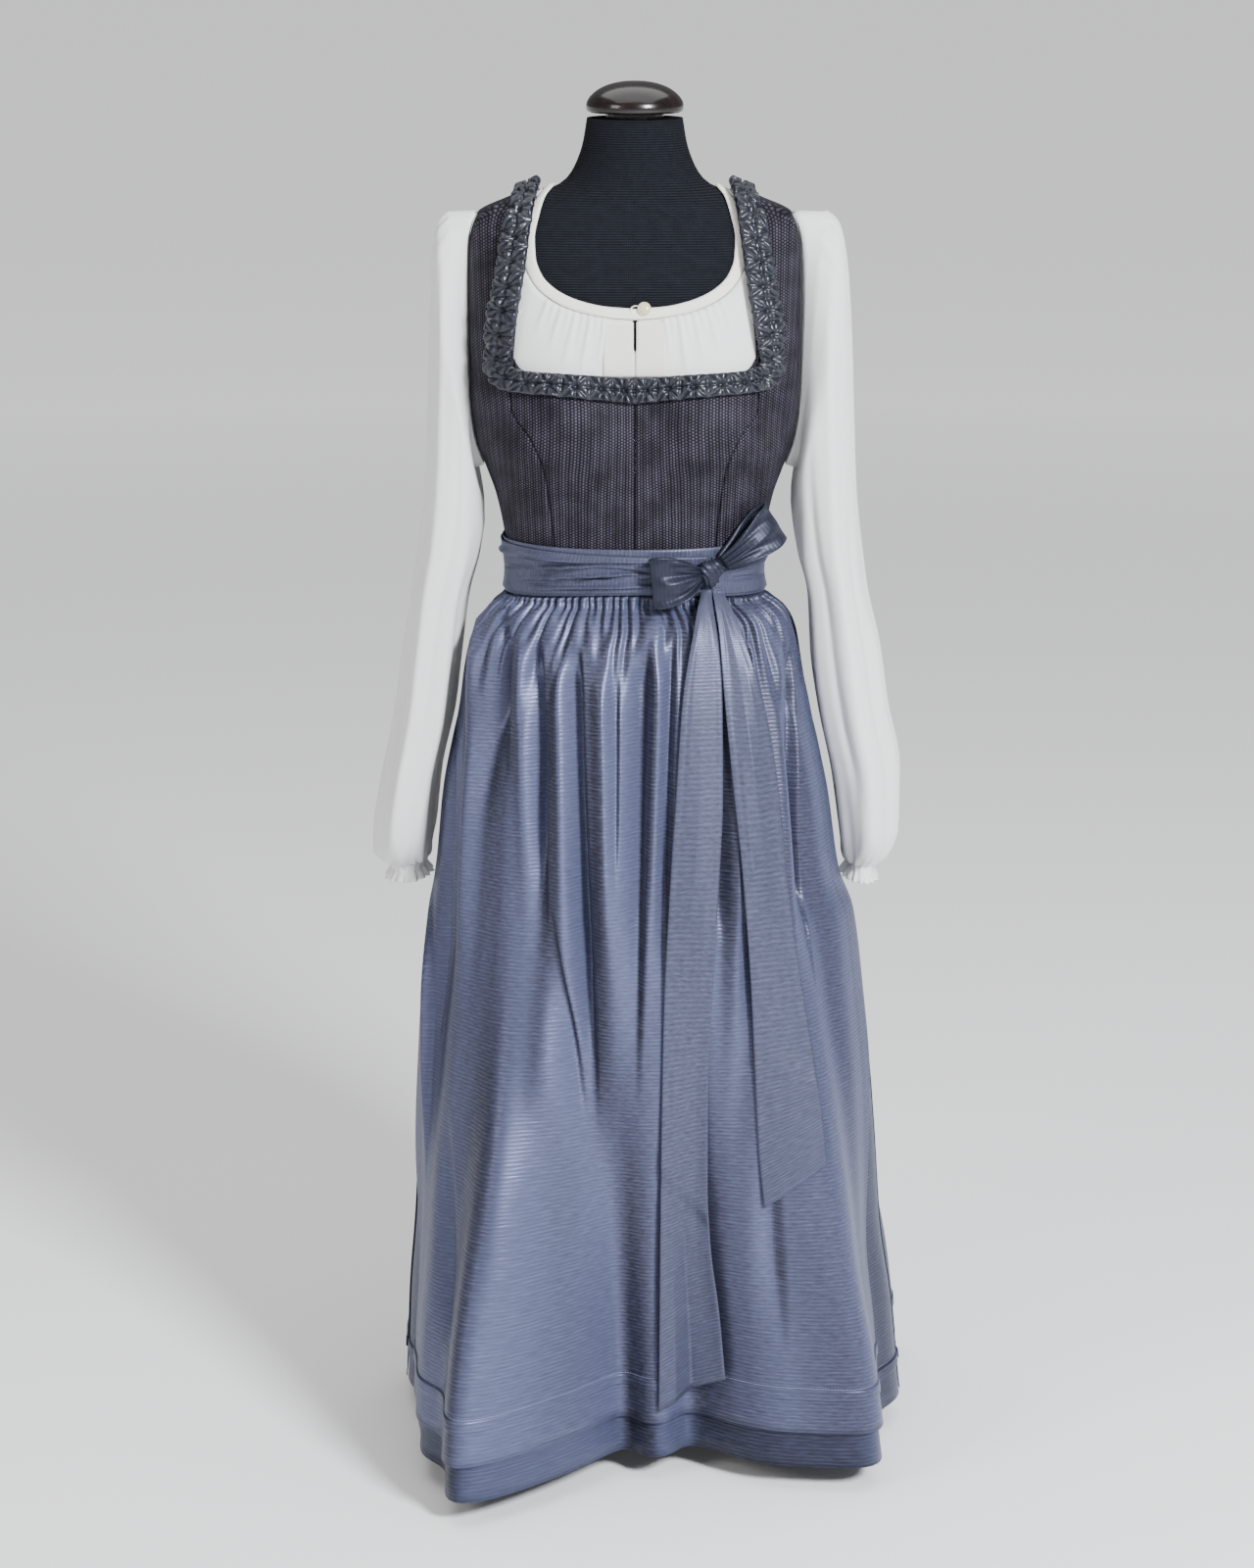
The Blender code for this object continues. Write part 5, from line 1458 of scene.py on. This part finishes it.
# %% Skirt
HEM = 0.028
WAIST_SEAM = 0.9350
SKIRT_WALL = 0.0010
FRONT_EDGE = -97.0
FRONT_LAST = 90.0
SKIRT_TUCK = HEM + 0.047


def under_apron(z):
    return np.interp(z, [0.90, 0.922, 0.935], [-0.0045, -0.0010, 0.0])


def skirt_panel(name, first, last, columns, count, wave, close, node, cut):
    angles = np.linspace(first, last, columns + 1)
    heights = rows_between(WAIST_SEAM - SEAM, HEM, count, [SKIRT_TUCK])
    a, z = np.meshgrid(angles, heights)
    push = wave * gathers(a, z) + tuck(z, SKIRT_TUCK) + hem_roll(z, HEM)
    places = skirt_face(a, z, under_apron(z) * close, push)
    flat = np.stack(np.meshgrid(np.linspace(0, cut[0], columns + 1), heights[0] - heights), axis=-1)
    piece = surface(name, places, flat=flat)
    # Painted fold shade for the skirt's taffeta colour.
    paint_fold_shade(piece, places, 20)
    stitches(name.replace("cloth", "tuck_stitches"), places[list(heights).index(SKIRT_TUCK)])
    thicken(piece, SKIRT_WALL)
    finish_sheet(piece, skirt_taffeta, [node])


WAIST_RADIUS = 0.135
skirt_seam = math.degrees(SEAM / 2 / WAIST_RADIUS)
skirt_panel("skirt_front_cloth", FRONT_EDGE + skirt_seam, FRONT_LAST - skirt_seam, 150, 80, 0.25, 1.0,
            "skirt_front", (1.00, 0.93))
skirt_panel("skirt_back_cloth", FRONT_LAST + skirt_seam, 360 + FRONT_EDGE - skirt_seam, 230, 110, 1.0, 0.5,
            "skirt_back", (0.98, 0.93))

# %% [markdown]
# The apron is the largest face in the picture: a full panel gathered to the waistband, open at its sides,
# with one tuck and a hand-turned hem below it.

# %% Apron panel
APRON_HEM = 0.066
APRON_OUT = 0.0014
APRON_WALL = 0.0010
APRON_FIRST = -91.5
APRON_LAST = 84.5
APRON_LEFT_DRAW = 9.0
APRON_RIGHT_DRAW = 14.0
APRON_TUCK = APRON_HEM + 0.047
BAND_LOW_FRONT = 0.9340
BAND_LOW_SIDE = 0.9225
APRON_CUT = (1.00, 0.88)
APRON_ACROSS = 360
APRON_TOP = 0.9336
APRON_FITTED_FROM = 0.88


def band_low(angle):
    front = np.maximum(np.cos(np.radians(angle)), 0) ** 2
    return BAND_LOW_SIDE + (BAND_LOW_FRONT - BAND_LOW_SIDE) * front


def over_skirt(z):
    return np.interp(z, [0.88, 0.902, 0.922, 0.935], [0.0008, 0.0012, 0.0026, 0.0030]) + APRON_OUT


def apron_places(angle, z):
    push = gathers(angle, z) + tuck(z, APRON_TUCK) + hem_roll(z, APRON_HEM)
    return skirt_face(angle, z, over_skirt(z), push)


def build_apron():
    angles = np.linspace(APRON_FIRST, APRON_LAST, APRON_ACROSS + 1)
    heights = rows_between(APRON_TOP, APRON_HEM, 100, [APRON_TUCK])
    a, z = np.meshgrid(angles, heights)
    drawn_left = APRON_LEFT_DRAW * ease_in((0.38 - z) / 0.25)
    drawn_right = APRON_RIGHT_DRAW * ease_in((0.64 - z) / 0.50)
    share = (a - APRON_FIRST) / (APRON_LAST - APRON_FIRST)
    a = a + drawn_left * (1 - share) ** 4 - drawn_right * share ** 4
    top = band_low(angles)[None, :] - SEAM
    fitted = (top - APRON_FITTED_FROM) / (APRON_TOP - APRON_FITTED_FROM)
    z = np.where(z > APRON_FITTED_FROM, APRON_FITTED_FROM + (z - APRON_FITTED_FROM) * fitted, z)
    places = apron_places(a, z)
    across = np.linspace(0, APRON_CUT[0], APRON_ACROSS + 1)
    flat = np.stack(np.meshgrid(across, heights[0] - heights), axis=-1)
    piece = surface("apron_panel_cloth", places, flat=flat)
    # Painted fold shade for the apron's taffeta colour.
    paint_fold_shade(piece, places, 24)
    stitches("apron_tuck_stitches", places[list(heights).index(APRON_TUCK)])
    thicken(piece, APRON_WALL)
    finish_sheet(piece, apron_taffeta, ["apron_panel"])


build_apron()

# %% [markdown]
# The waistband is one flat ring. Over it the long tie goes round once more, and its cloth creases softly
# where it is pulled tight towards the knot. A crease is a short line on the flat cloth with a width and a
# depth.

# %% Waistband and wrapped tie
BAND_LIFT = 0.0092
BAND_OUT = 0.0013
WRAP_LIFT = 0.0117
BAND_HIGH = 0.9840
WRAP_HIGH = 0.9770
WRAP_LOW = 0.0030
WRAP_END = 35.0
WRAP_CREASES = (
    # from degrees and share up, to degrees and share up, width, height
    (-88.0, 0.80, 10.0, 0.90, 0.040, 0.0028),
    (-60.0, 0.30, 0.0, 0.55, 0.034, 0.0030),
    (-44.0, 0.62, -20.0, 0.72, 0.032, 0.0028),
    (-34.0, 0.40, -8.0, 0.44, 0.028, -0.0018),
    (-18.0, 0.66, 12.0, 0.58, 0.028, -0.0018),
    (-86.0, 0.44, -52.0, 0.62, 0.034, -0.0018),
    (-50.0, 0.12, 20.0, 0.20, 0.036, 0.0024),
    (2.0, 0.78, 32.0, 0.62, 0.030, 0.0026),
    (4.0, 0.34, 32.0, 0.48, 0.030, 0.0026),
    (44.0, 0.60, 88.0, 0.80, 0.050, 0.0014),
    (44.0, 0.42, 84.0, 0.34, 0.050, -0.0013),
    (100.0, 0.70, 170.0, 0.60, 0.055, 0.0015),
    (120.0, 0.30, 200.0, 0.36, 0.055, -0.0013),
    (180.0, 0.55, 255.0, 0.74, 0.055, 0.0015),
    (210.0, 0.24, 262.0, 0.30, 0.055, 0.0012),
)
CREASE_GAIN = 3.2
CREASE_TURN = 150.0


def creases(angle, share, rows):
    """Ridges and troughs along short lines, in turns of 150 degrees across and shares up."""
    total = 0 * angle
    for a0, v0, a1, v1, wide, high in rows:
        du = (a1 - a0) / CREASE_TURN
        dv = v1 - v0
        u = (angle - a0) / CREASE_TURN
        v = share - v0
        t = np.clip((u * du + v * dv) / (du * du + dv * dv), 0, 1)
        away = np.hypot((u - t * du) * 2.2, v - t * dv)
        taper = 0.35 + 0.65 * np.sin(np.pi * np.clip(t, 0.04, 0.96))
        total = total + high * np.exp(-((away / (wide * 0.95)) ** 2)) * taper
    return CREASE_GAIN * total


def ring_of_cloth(name, first, last, columns, low, high, lift, rows, crease_rows, closed, node, wall):
    angles = np.linspace(first, last, columns + 1)
    shares = np.linspace(1, 0, rows + 1)
    a, share = np.meshgrid(angles, shares)
    z = low(a) + (high(a) - low(a)) * share
    near = (a + 97) % 360 - 97
    rise = creases(near, share, crease_rows) + 0.0004 * np.sin(np.radians(a * 7)) * np.sin(np.pi * share)
    places = round_form(a, z, lift + rise)
    wide, long, _ = measure(places)
    flat = np.stack(np.meshgrid(np.linspace(0, wide, columns + 1), np.linspace(0, long, rows + 1)), axis=-1)
    piece = surface(name, places, closed=closed, flat=flat[..., ::-1])
    thicken(piece, wall)
    return finish_sheet(piece, tie_taffeta, [node])


def flat_band(a):
    return BAND_HIGH + 0 * a


def wrap_low(a):
    return band_low(a) + WRAP_LOW


def wrap_high(a):
    return WRAP_HIGH - 0.004 * np.sin(np.radians(a))


ring_of_cloth("apron_waistband_cloth", 0, 360, 180, band_low, flat_band, BAND_LIFT + BAND_OUT, 16, (), True,
              "apron_band", 0.0010)
ring_of_cloth("apron_wrapped_tie_cloth", WRAP_END + 1.0, WRAP_END + 359.0, 260, wrap_low, wrap_high,
              WRAP_LIFT + BAND_OUT, 26, WRAP_CREASES, False, "apron_tie_wrap", 0.0010)

# %% [markdown]
# The bow: a knot with two loops. The knot is a small ball whose wrapped turns show as slanting grooves. A
# loop is one strip that goes out, turns and comes back, pinched at the knot.

# %% Knot and loops
KNOT_X = 0.0705
KNOT_Z = 0.9585
KNOT_WIDE = 0.0130
KNOT_TALL = 0.0145
KNOT_DEEP = 0.0080
KNOT_OFF = 0.0225
LOOP_LEFT = (
    # along, half height, puff
    (0.010, 0.008, 0.003),
    (0.022, 0.015, 0.008),
    (0.038, 0.022, 0.010),
    (0.052, 0.025, 0.008),
    (0.062, 0.026, 0.003),
)
LOOP_RIGHT = (
    (0.010, 0.008, 0.003),
    (0.030, 0.013, 0.008),
    (0.052, 0.019, 0.010),
    (0.070, 0.023, 0.008),
    (0.080, 0.023, 0.003),
)
LOOP_LEFT_START = 0.0124
LOOP_RIGHT_START = 0.0156
LOOP_LEFT_TURN = 187.0
LOOP_RIGHT_TURN = 34.0
UP = np.array([0.0, 0.0, 1.0])


def knot_centre():
    """Middle of the knot, and the level way out from the body there."""
    knot = on_form(np.array(turn_of(KNOT_X, KNOT_Z)), KNOT_Z, -1)
    out = outward(knot, -1.0)
    out[2] = 0
    out /= np.linalg.norm(out)
    return knot + out * KNOT_OFF, out


centre, bow_out = knot_centre()
bow_side = np.array([-bow_out[1], bow_out[0], 0.0])
if bow_side[0] < 0:
    bow_side = -bow_side


def build_knot():
    polar = np.radians(np.linspace(0, 180, 41))[:, None]
    round_it = np.radians(np.linspace(0, 360, 65))[None, :]
    x = np.sin(polar) * np.sin(round_it)
    y = np.sin(polar) * np.cos(round_it)
    z = np.cos(polar) + 0 * round_it
    slant = x * 0.75 + z * 0.65
    groove = -0.10 * np.exp(-(((slant + 0.28) / 0.13) ** 2)) - 0.10 * np.exp(-(((slant - 0.30) / 0.12) ** 2))
    groove = groove + 0.05 * np.sin(slant * 17 + x * 3)
    size = (1 + groove)[..., None]
    pinch = 1 - 0.14 * np.cos(3 * np.arctan2(x, z))
    places = centre + size * (bow_side * (KNOT_WIDE * x * pinch)[..., None]
                              + UP * (KNOT_TALL * z * pinch)[..., None]
                              + bow_out * (KNOT_DEEP * y)[..., None])
    return surface("apron_knot_cloth", places, closed=True)


# The knot and loops wear the darker bow taffeta, which is painted shade.
dress(build_knot(), bow_taffeta_painted_shade, ["apron_knot"])


def build_loop(name, table, turn, root, node, ruffle):
    way = bow_side * math.cos(math.radians(turn)) + UP * math.sin(math.radians(turn))
    over = -bow_side * math.sin(math.radians(turn)) + UP * math.cos(math.radians(turn))
    rows = np.array(table)
    start = root - rows[0, 0]
    outline = [(u + start, v, h) for u, h, v in rows]
    outline.append((outline[-1][0] + 0.0025, 0.0, outline[-1][2]))
    outline += [(u + start, -v, h) for u, h, v in rows[::-1]]
    run = by_row(("along", "puff", "half"), outline)
    t = np.linspace(0, 1, 61)
    shares = np.linspace(-1, 1, 25)
    along = run["along"](t)[:, None]
    reach = (along - root) / (rows[-1, 0] - rows[0, 0])
    near_knot = np.exp(-((reach - 0.20) / 0.45) ** 2)
    fan_out = (0.3 + reach) * np.exp(-(((reach - 0.35) / 0.6) ** 2))
    fan = 0.0030 * np.sin(shares[None, :] * 6.2 + ruffle) * fan_out
    fan = fan + 0.0018 * np.sin(shares[None, :] * 13 + 2 * ruffle) * near_knot
    fan = fan + 0.0007 * np.sin(shares[None, :] * 4 + reach * 9 + ruffle)
    sag = 0.0018 * np.sin(t * 9)[:, None] * shares[None, :] ** 2
    places = (centre + way * (along[..., None] + 0 * shares[None, :, None])
              + over * (run["half"](t)[:, None] * shares[None, :])[..., None]
              + bow_out * ((run["puff"](t)[:, None] + fan + sag))[..., None])
    piece = surface(name, places)
    thicken(piece, 0.0009)
    return finish_sheet(piece, bow_taffeta_painted_shade, [node])


build_loop("bow_loop_left_cloth", LOOP_LEFT, LOOP_LEFT_TURN, LOOP_LEFT_START, "apron_bow_loop_left", 0.6)
build_loop("bow_loop_right_cloth", LOOP_RIGHT, LOOP_RIGHT_TURN, LOOP_RIGHT_START, "apron_bow_loop_right", 2.0)

# %% [markdown]
# The two tie ends hang in front of the apron. Each is drawn by its left and right edge as seen from the
# front, and lies just clear of the nearest fold. A taut line has no hollows, so the depth is smoothed the
# way a hanging strip would span them.

# %% Tie ends
TAIL_COLUMNS = ("left_height", "left_x", "right_height", "right_x")
TAIL_LONG = (
    (0.9412, 0.0690, 0.9412, 0.0780),
    (0.9250, 0.0640, 0.9250, 0.0800),
    (0.9000, 0.0590, 0.9000, 0.0840),
    (0.8400, 0.0490, 0.8400, 0.0890),
    (0.7400, 0.0420, 0.7400, 0.0900),
    (0.6300, 0.0350, 0.6300, 0.0850),
    (0.5200, 0.0300, 0.5200, 0.0790),
    (0.4100, 0.0280, 0.4200, 0.0755),
    (0.3200, 0.0270, 0.3300, 0.0755),
    (0.2400, 0.0265, 0.2600, 0.0790),
    (0.1600, 0.0260, 0.1900, 0.0880),
    (0.0800, 0.0255, 0.1150, 0.0950),
)
TAIL_SHORT = (
    (0.9412, 0.0790, 0.9412, 0.0880),
    (0.9250, 0.0820, 0.9250, 0.0980),
    (0.9000, 0.0860, 0.9000, 0.1090),
    (0.8500, 0.0900, 0.8500, 0.1260),
    (0.7600, 0.0990, 0.7600, 0.1450),
    (0.6500, 0.1110, 0.6500, 0.1570),
    (0.5500, 0.1190, 0.5500, 0.1710),
    (0.4500, 0.1240, 0.4600, 0.1860),
    (0.3700, 0.1280, 0.4000, 0.1950),
    (0.3050, 0.1340, 0.3500, 0.2000),
)
TAIL_OFF = 0.0026
TAIL_ROWS = 110
TAIL_ACROSS = 28
PROBES_DOWN = 45
PROBES_ACROSS = 5


def nearest_fold(x, z):
    """Depth just in front of the apron at x and height, over whatever fold is nearest."""
    angles = np.linspace(-70, 88, 317)
    best = 0.0
    for dz in (-0.015, 0.0, 0.015):
        face = apron_places(angles, np.full(len(angles), float(np.clip(z + dz, APRON_HEM, 0.93))))
        near = np.abs(face[:, 0] - x) < 0.014
        best = min(best, float(face[near, 1].min()))
    return best


def build_tail(name, table, node, waves):
    run = by_row(TAIL_COLUMNS, table)
    t = np.linspace(0, 1, TAIL_ROWS + 1)
    shares = np.linspace(0, 1, TAIL_ACROSS + 1)
    heights = between(run["left_height"](t), run["right_height"](t), shares)
    across = between(run["left_x"](t), run["right_x"](t), shares)
    coarse = np.linspace(0, 1, PROBES_DOWN)
    over = np.linspace(0, 1, PROBES_ACROSS)
    known = np.zeros((PROBES_DOWN, PROBES_ACROSS))
    for i, s in enumerate(coarse):
        for j, u in enumerate(over):
            z = run["left_height"](s) * (1 - u) + run["right_height"](s) * u
            x = run["left_x"](s) * (1 - u) + run["right_x"](s) * u
            known[i, j] = nearest_fold(float(x), float(z)) - TAIL_OFF
    for _ in range(40):
        known[1:-1] = np.minimum(known[1:-1], (known[:-2] + known[2:]) / 2)
    known[0] = centre[1] + 0.0006
    finer_rows = np.stack([smooth(coarse, column)(t) for column in known.T], axis=1)
    depth = np.array([np.interp(shares, over, row) for row in finer_rows])
    bulge = 0.0022 * np.sin(np.pi * shares)[None, :] * np.exp(-((t[:, None] - 0.10) / 0.12) ** 2)
    ripple = 0 * heights
    for at, slope, wide, high in waves:
        ripple = ripple + high * np.exp(-(((heights - at - slope * (shares[None, :] - 0.5)) / wide) ** 2))
    from_edge = np.minimum(shares, 1 - shares)[None, :] * (across[:, -1:] - across[:, :1])
    hem = 0.0005 * (1 - ease_in((from_edge - 0.0045) / 0.0015))
    depth = depth - bulge - hem - np.maximum(ripple, -0.0020)
    places = np.stack([across, depth, heights], axis=-1)
    wide = float(np.linalg.norm(np.diff(places, axis=1), axis=2).sum(axis=1).max())
    long = float(heights[0, 0] - heights[-1, 0])
    flat = np.stack(np.meshgrid(shares * wide, t * long), axis=-1)
    piece = surface(name, places, flat=flat)
    thicken(piece, 0.0009)
    return finish_sheet(piece, tie_taffeta, [node])


LONG_WAVES = ((0.325, -0.055, 0.010, 0.0030), (0.300, -0.055, 0.010, -0.0018), (0.60, 0.02, 0.020, 0.0012),
              (0.18, 0.03, 0.018, 0.0014))
SHORT_WAVES = ((0.62, 0.03, 0.022, 0.0014), (0.45, -0.04, 0.016, 0.0014))
build_tail("tie_end_long_cloth", TAIL_LONG, "apron_tail_long", LONG_WAVES)
build_tail("tie_end_short_cloth", TAIL_SHORT, "apron_tail_short", SHORT_WAVES)

# %% [markdown]
# The sleeves: rings from the armhole to the wrist. Each ring is given by its inner and outer point as seen
# from the front and by its depth. Long soft creases fall down the sleeve, small pleats sit at its head, and
# an elastic gathers the wrist into a little frill.

# %% Sleeves
SLEEVE_COLUMNS = ("inner_x", "inner_height", "outer_x", "outer_height", "half_depth", "middle_y")
SLEEVE_LEFT_OF_PICTURE = (
    (0.1680, 1.0520, 0.1900, 1.3150, 0.054, 0.000),
    (0.1640, 1.0380, 0.2020, 1.3020, 0.061, 0.000),
    (0.1600, 1.0260, 0.2080, 1.2650, 0.066, 0.000),
    (0.1580, 1.0150, 0.2110, 1.2100, 0.068, 0.002),
    (0.1580, 0.9950, 0.2175, 1.0500, 0.066, 0.006),
    (0.1650, 0.9600, 0.2230, 0.9850, 0.065, 0.010),
    (0.1780, 0.9150, 0.2320, 0.9250, 0.064, 0.014),
    (0.1870, 0.8500, 0.2410, 0.8600, 0.066, 0.020),
    (0.1945, 0.7900, 0.2500, 0.7950, 0.070, 0.024),
    (0.2100, 0.7200, 0.2640, 0.7250, 0.074, 0.028),
    (0.2160, 0.6650, 0.2740, 0.6680, 0.070, 0.030),
    (0.2190, 0.6380, 0.2760, 0.6350, 0.056, 0.032),
    (0.2230, 0.6270, 0.2620, 0.6220, 0.040, 0.034),
)
SLEEVE_RIGHT_OF_PICTURE = (
    (0.1690, 1.0520, 0.1940, 1.3150, 0.054, 0.000),
    (0.1660, 1.0380, 0.2090, 1.3020, 0.061, 0.000),
    (0.1640, 1.0260, 0.2180, 1.2650, 0.066, 0.000),
    (0.1640, 1.0150, 0.2225, 1.2100, 0.068, 0.002),
    (0.1660, 0.9950, 0.2295, 1.0500, 0.066, 0.006),
    (0.1720, 0.9600, 0.2330, 0.9850, 0.065, 0.010),
    (0.1830, 0.9150, 0.2400, 0.9250, 0.064, 0.014),
    (0.1870, 0.8500, 0.2550, 0.8600, 0.066, 0.020),
    (0.1960, 0.7900, 0.2650, 0.7950, 0.070, 0.024),
    (0.2110, 0.7200, 0.2790, 0.7250, 0.075, 0.028),
    (0.2190, 0.6650, 0.2790, 0.6680, 0.072, 0.030),
    (0.2230, 0.6380, 0.2680, 0.6350, 0.056, 0.032),
    (0.2270, 0.6260, 0.2560, 0.6210, 0.040, 0.034),
)
SLEEVE_AROUND = 84
SLEEVE_DOWN = 110
SLEEVE_WALL = 0.0009
ARMHOLE_LIFT = 0.0068
CUFF_ROWS = (
    # drop, how far the ring is wider than the wrist, share of the frill
    (SEAM, 0.0, 0.6),
    (0.003, -0.001, 0.5),
    (0.006, -0.0018, 0.5),
    (0.009, -0.001, 0.6),
    (0.012, 0.001, 0.8),
    (0.015, 0.003, 1.1),
    (0.018, 0.0045, 1.4),
)
SLEEVE_CREASES = (
    # from degrees round and share down, to degrees and share, width in degrees, height
    (60.0, 0.05, 75.0, 0.95, 10.0, 0.0046),
    (100.0, 0.18, 92.0, 0.80, 9.0, -0.0044),
    (122.0, 0.30, 128.0, 0.98, 10.0, 0.0050),
    (30.0, 0.30, 40.0, 0.98, 8.0, -0.0042),
    (150.0, 0.35, 156.0, 0.90, 8.0, -0.0042),
    (10.0, 0.45, 14.0, 1.00, 9.0, 0.0042),
    (200.0, 0.30, 205.0, 0.95, 10.0, 0.0050),
    (235.0, 0.20, 240.0, 0.90, 8.0, -0.0042),
    (270.0, 0.15, 268.0, 0.95, 10.0, 0.0050),
    (305.0, 0.25, 300.0, 0.95, 8.0, -0.0042),
    (335.0, 0.30, 338.0, 0.98, 10.0, 0.0046),
    (84.0, 0.70, 86.0, 1.00, 6.0, 0.0020),
    (110.0, 0.78, 108.0, 1.00, 5.0, -0.0020),
)
HEAD_PLEATS = ((-22.0, 0.0030), (-8.0, 0.0036), (6.0, 0.0034), (20.0, 0.0030), (34.0, 0.0022))


def armhole_ring(sign, angles, push):
    """Loop round the armhole: 0 degrees at the shoulder tip, 90 front, 180 armpit, 270 back."""
    low = ARMHOLE[0][0]
    high = ARMHOLE[-1][0]
    z = (low + high) / 2 + (high - low) / 2 * np.cos(angles)
    side = np.where(np.sin(angles) >= 0, -1.0, 1.0)
    turn = np.where(np.abs(np.sin(angles)) < 0.02, 90.0, turn_of(armhole_x(z), z))
    places = on_form(turn, z, side, ARMHOLE_LIFT)
    places[:, 0] += push
    places[:, 0] *= sign
    return places


def build_sleeve(label, sign, table, flip):
    run = by_row(SLEEVE_COLUMNS, table)
    degrees = np.linspace(0, 360, SLEEVE_AROUND + 1)
    angles = np.radians(degrees)
    down = np.linspace(0, 1, SLEEVE_DOWN + 1)
    part = {name: run[name](down)[:, None] for name in SLEEVE_COLUMNS}
    half_x = (part["outer_x"] - part["inner_x"]) / 2
    half_z = (part["outer_height"] - part["inner_height"]) / 2
    size = np.hypot(half_x, half_z)
    rise = np.zeros((len(down), len(degrees)))
    length = down[:, None]
    for d0, s0, d1, s1, wide, high in SLEEVE_CREASES:
        share = np.clip((length - s0) / (s1 - s0), 0, 1)
        centre_line = (d0 + (d1 - d0) * share + 17 * flip) % 360
        away = (degrees[None, :] - centre_line + 180) % 360 - 180
        grown = ease_in((length - s0) / 0.18) * ease_in((s1 - length) / 0.12 + 0.5 * (s1 > 0.97))
        rise += high * grown * np.exp(-((away / wide) ** 2))
    for at, high in HEAD_PLEATS:
        away = (degrees[None, :] - at - 8 * flip + 180) % 360 - 180
        from_head = ease_in(length / 0.015)
        rise += high * np.exp(-((away / 4.5) ** 2)) * ease_in(1 - length / 0.22) * from_head
        rise -= 0.7 * high * np.exp(-(((away - 7) / 3.5) ** 2)) * ease_in(1 - length / 0.20) * from_head
    wrist = ease_in((length - 0.86) / 0.12)
    rise += 0.0020 * wrist * np.sin(angles * 17)[None, :] + 0.0010 * wrist * np.sin(angles * 29 + 1)[None, :]
    along = (np.sign(np.cos(angles)) * np.abs(np.cos(angles)) ** 0.9)[None, :]
    around = (np.sign(np.sin(angles)) * np.abs(np.sin(angles)) ** 0.9)[None, :]
    x = (part["inner_x"] + part["outer_x"]) / 2 + half_x * along * (1 + rise / size)
    z = (part["inner_height"] + part["outer_height"]) / 2 + half_z * along * (1 + rise / size)
    y = part["middle_y"] - (part["half_depth"] + rise) * around
    body = np.stack([sign * x, y, z], axis=-1)
    ring = armhole_ring(sign, angles, 0.0028)
    steps = [ring + (body[0] - ring) * s for s in (0.0, 0.25, 0.5, 0.75)]
    places = np.concatenate([np.array(steps), body])
    piece = surface(f"blouse_sleeve_{label}_cloth", places, closed=True, inside_out=sign < 0)
    thicken(piece, SLEEVE_WALL)
    finish_sheet(piece, blouse_crepe, [f"blouse_sleeve_{label}"])
    last = {name: float(values[-1, 0]) for name, values in part.items()}
    rows = []
    for drop, grow, frill in CUFF_ROWS:
        wave = frill * (0.0015 * np.sin(angles * 17) + 0.0009 * np.sin(angles * 29 + 1))
        cx = (last["inner_x"] + last["outer_x"]) / 2
        cz = (last["inner_height"] + last["outer_height"]) / 2
        x = cx + ((last["outer_x"] - last["inner_x"]) / 2 + grow + wave) * np.cos(angles)
        y = last["middle_y"] - (last["half_depth"] + grow + wave) * np.sin(angles)
        z = cz + (last["outer_height"] - last["inner_height"]) / 2 * np.cos(angles) - drop
        rows.append(np.stack([sign * x, y, z], axis=-1))
    places = np.array(rows)
    piece = surface(f"blouse_cuff_{label}_cloth", places, closed=True, inside_out=sign < 0)
    thicken(piece, SLEEVE_WALL)
    finish_sheet(piece, blouse_crepe, [f"blouse_cuff_{label}"])


build_sleeve("left", -1, SLEEVE_LEFT_OF_PICTURE, 0)
build_sleeve("right", 1, SLEEVE_RIGHT_OF_PICTURE, 1)

# %% [markdown]
# Black piping edges both armholes. It is a thin corded tube that follows the armhole's own loop.

# %% Armhole piping
PIPING_RADIUS = 0.0011
PIPING_IN = 0.0006


def build_piping(label, sign):
    angles = np.radians(np.linspace(0, 360, 121))[:-1]
    line = armhole_ring(sign, angles, 0.0004)
    inward = line.mean(axis=0) - line
    inward[:, 0] = 0
    inward /= np.linalg.norm(inward, axis=1, keepdims=True)
    line = line + inward * PIPING_IN
    piece = tube(f"armhole_piping_{label}", line, PIPING_RADIUS, around=10, closed=True)
    return dress(piece, black_thread)


build_piping("left", -1)
build_piping("right", 1)
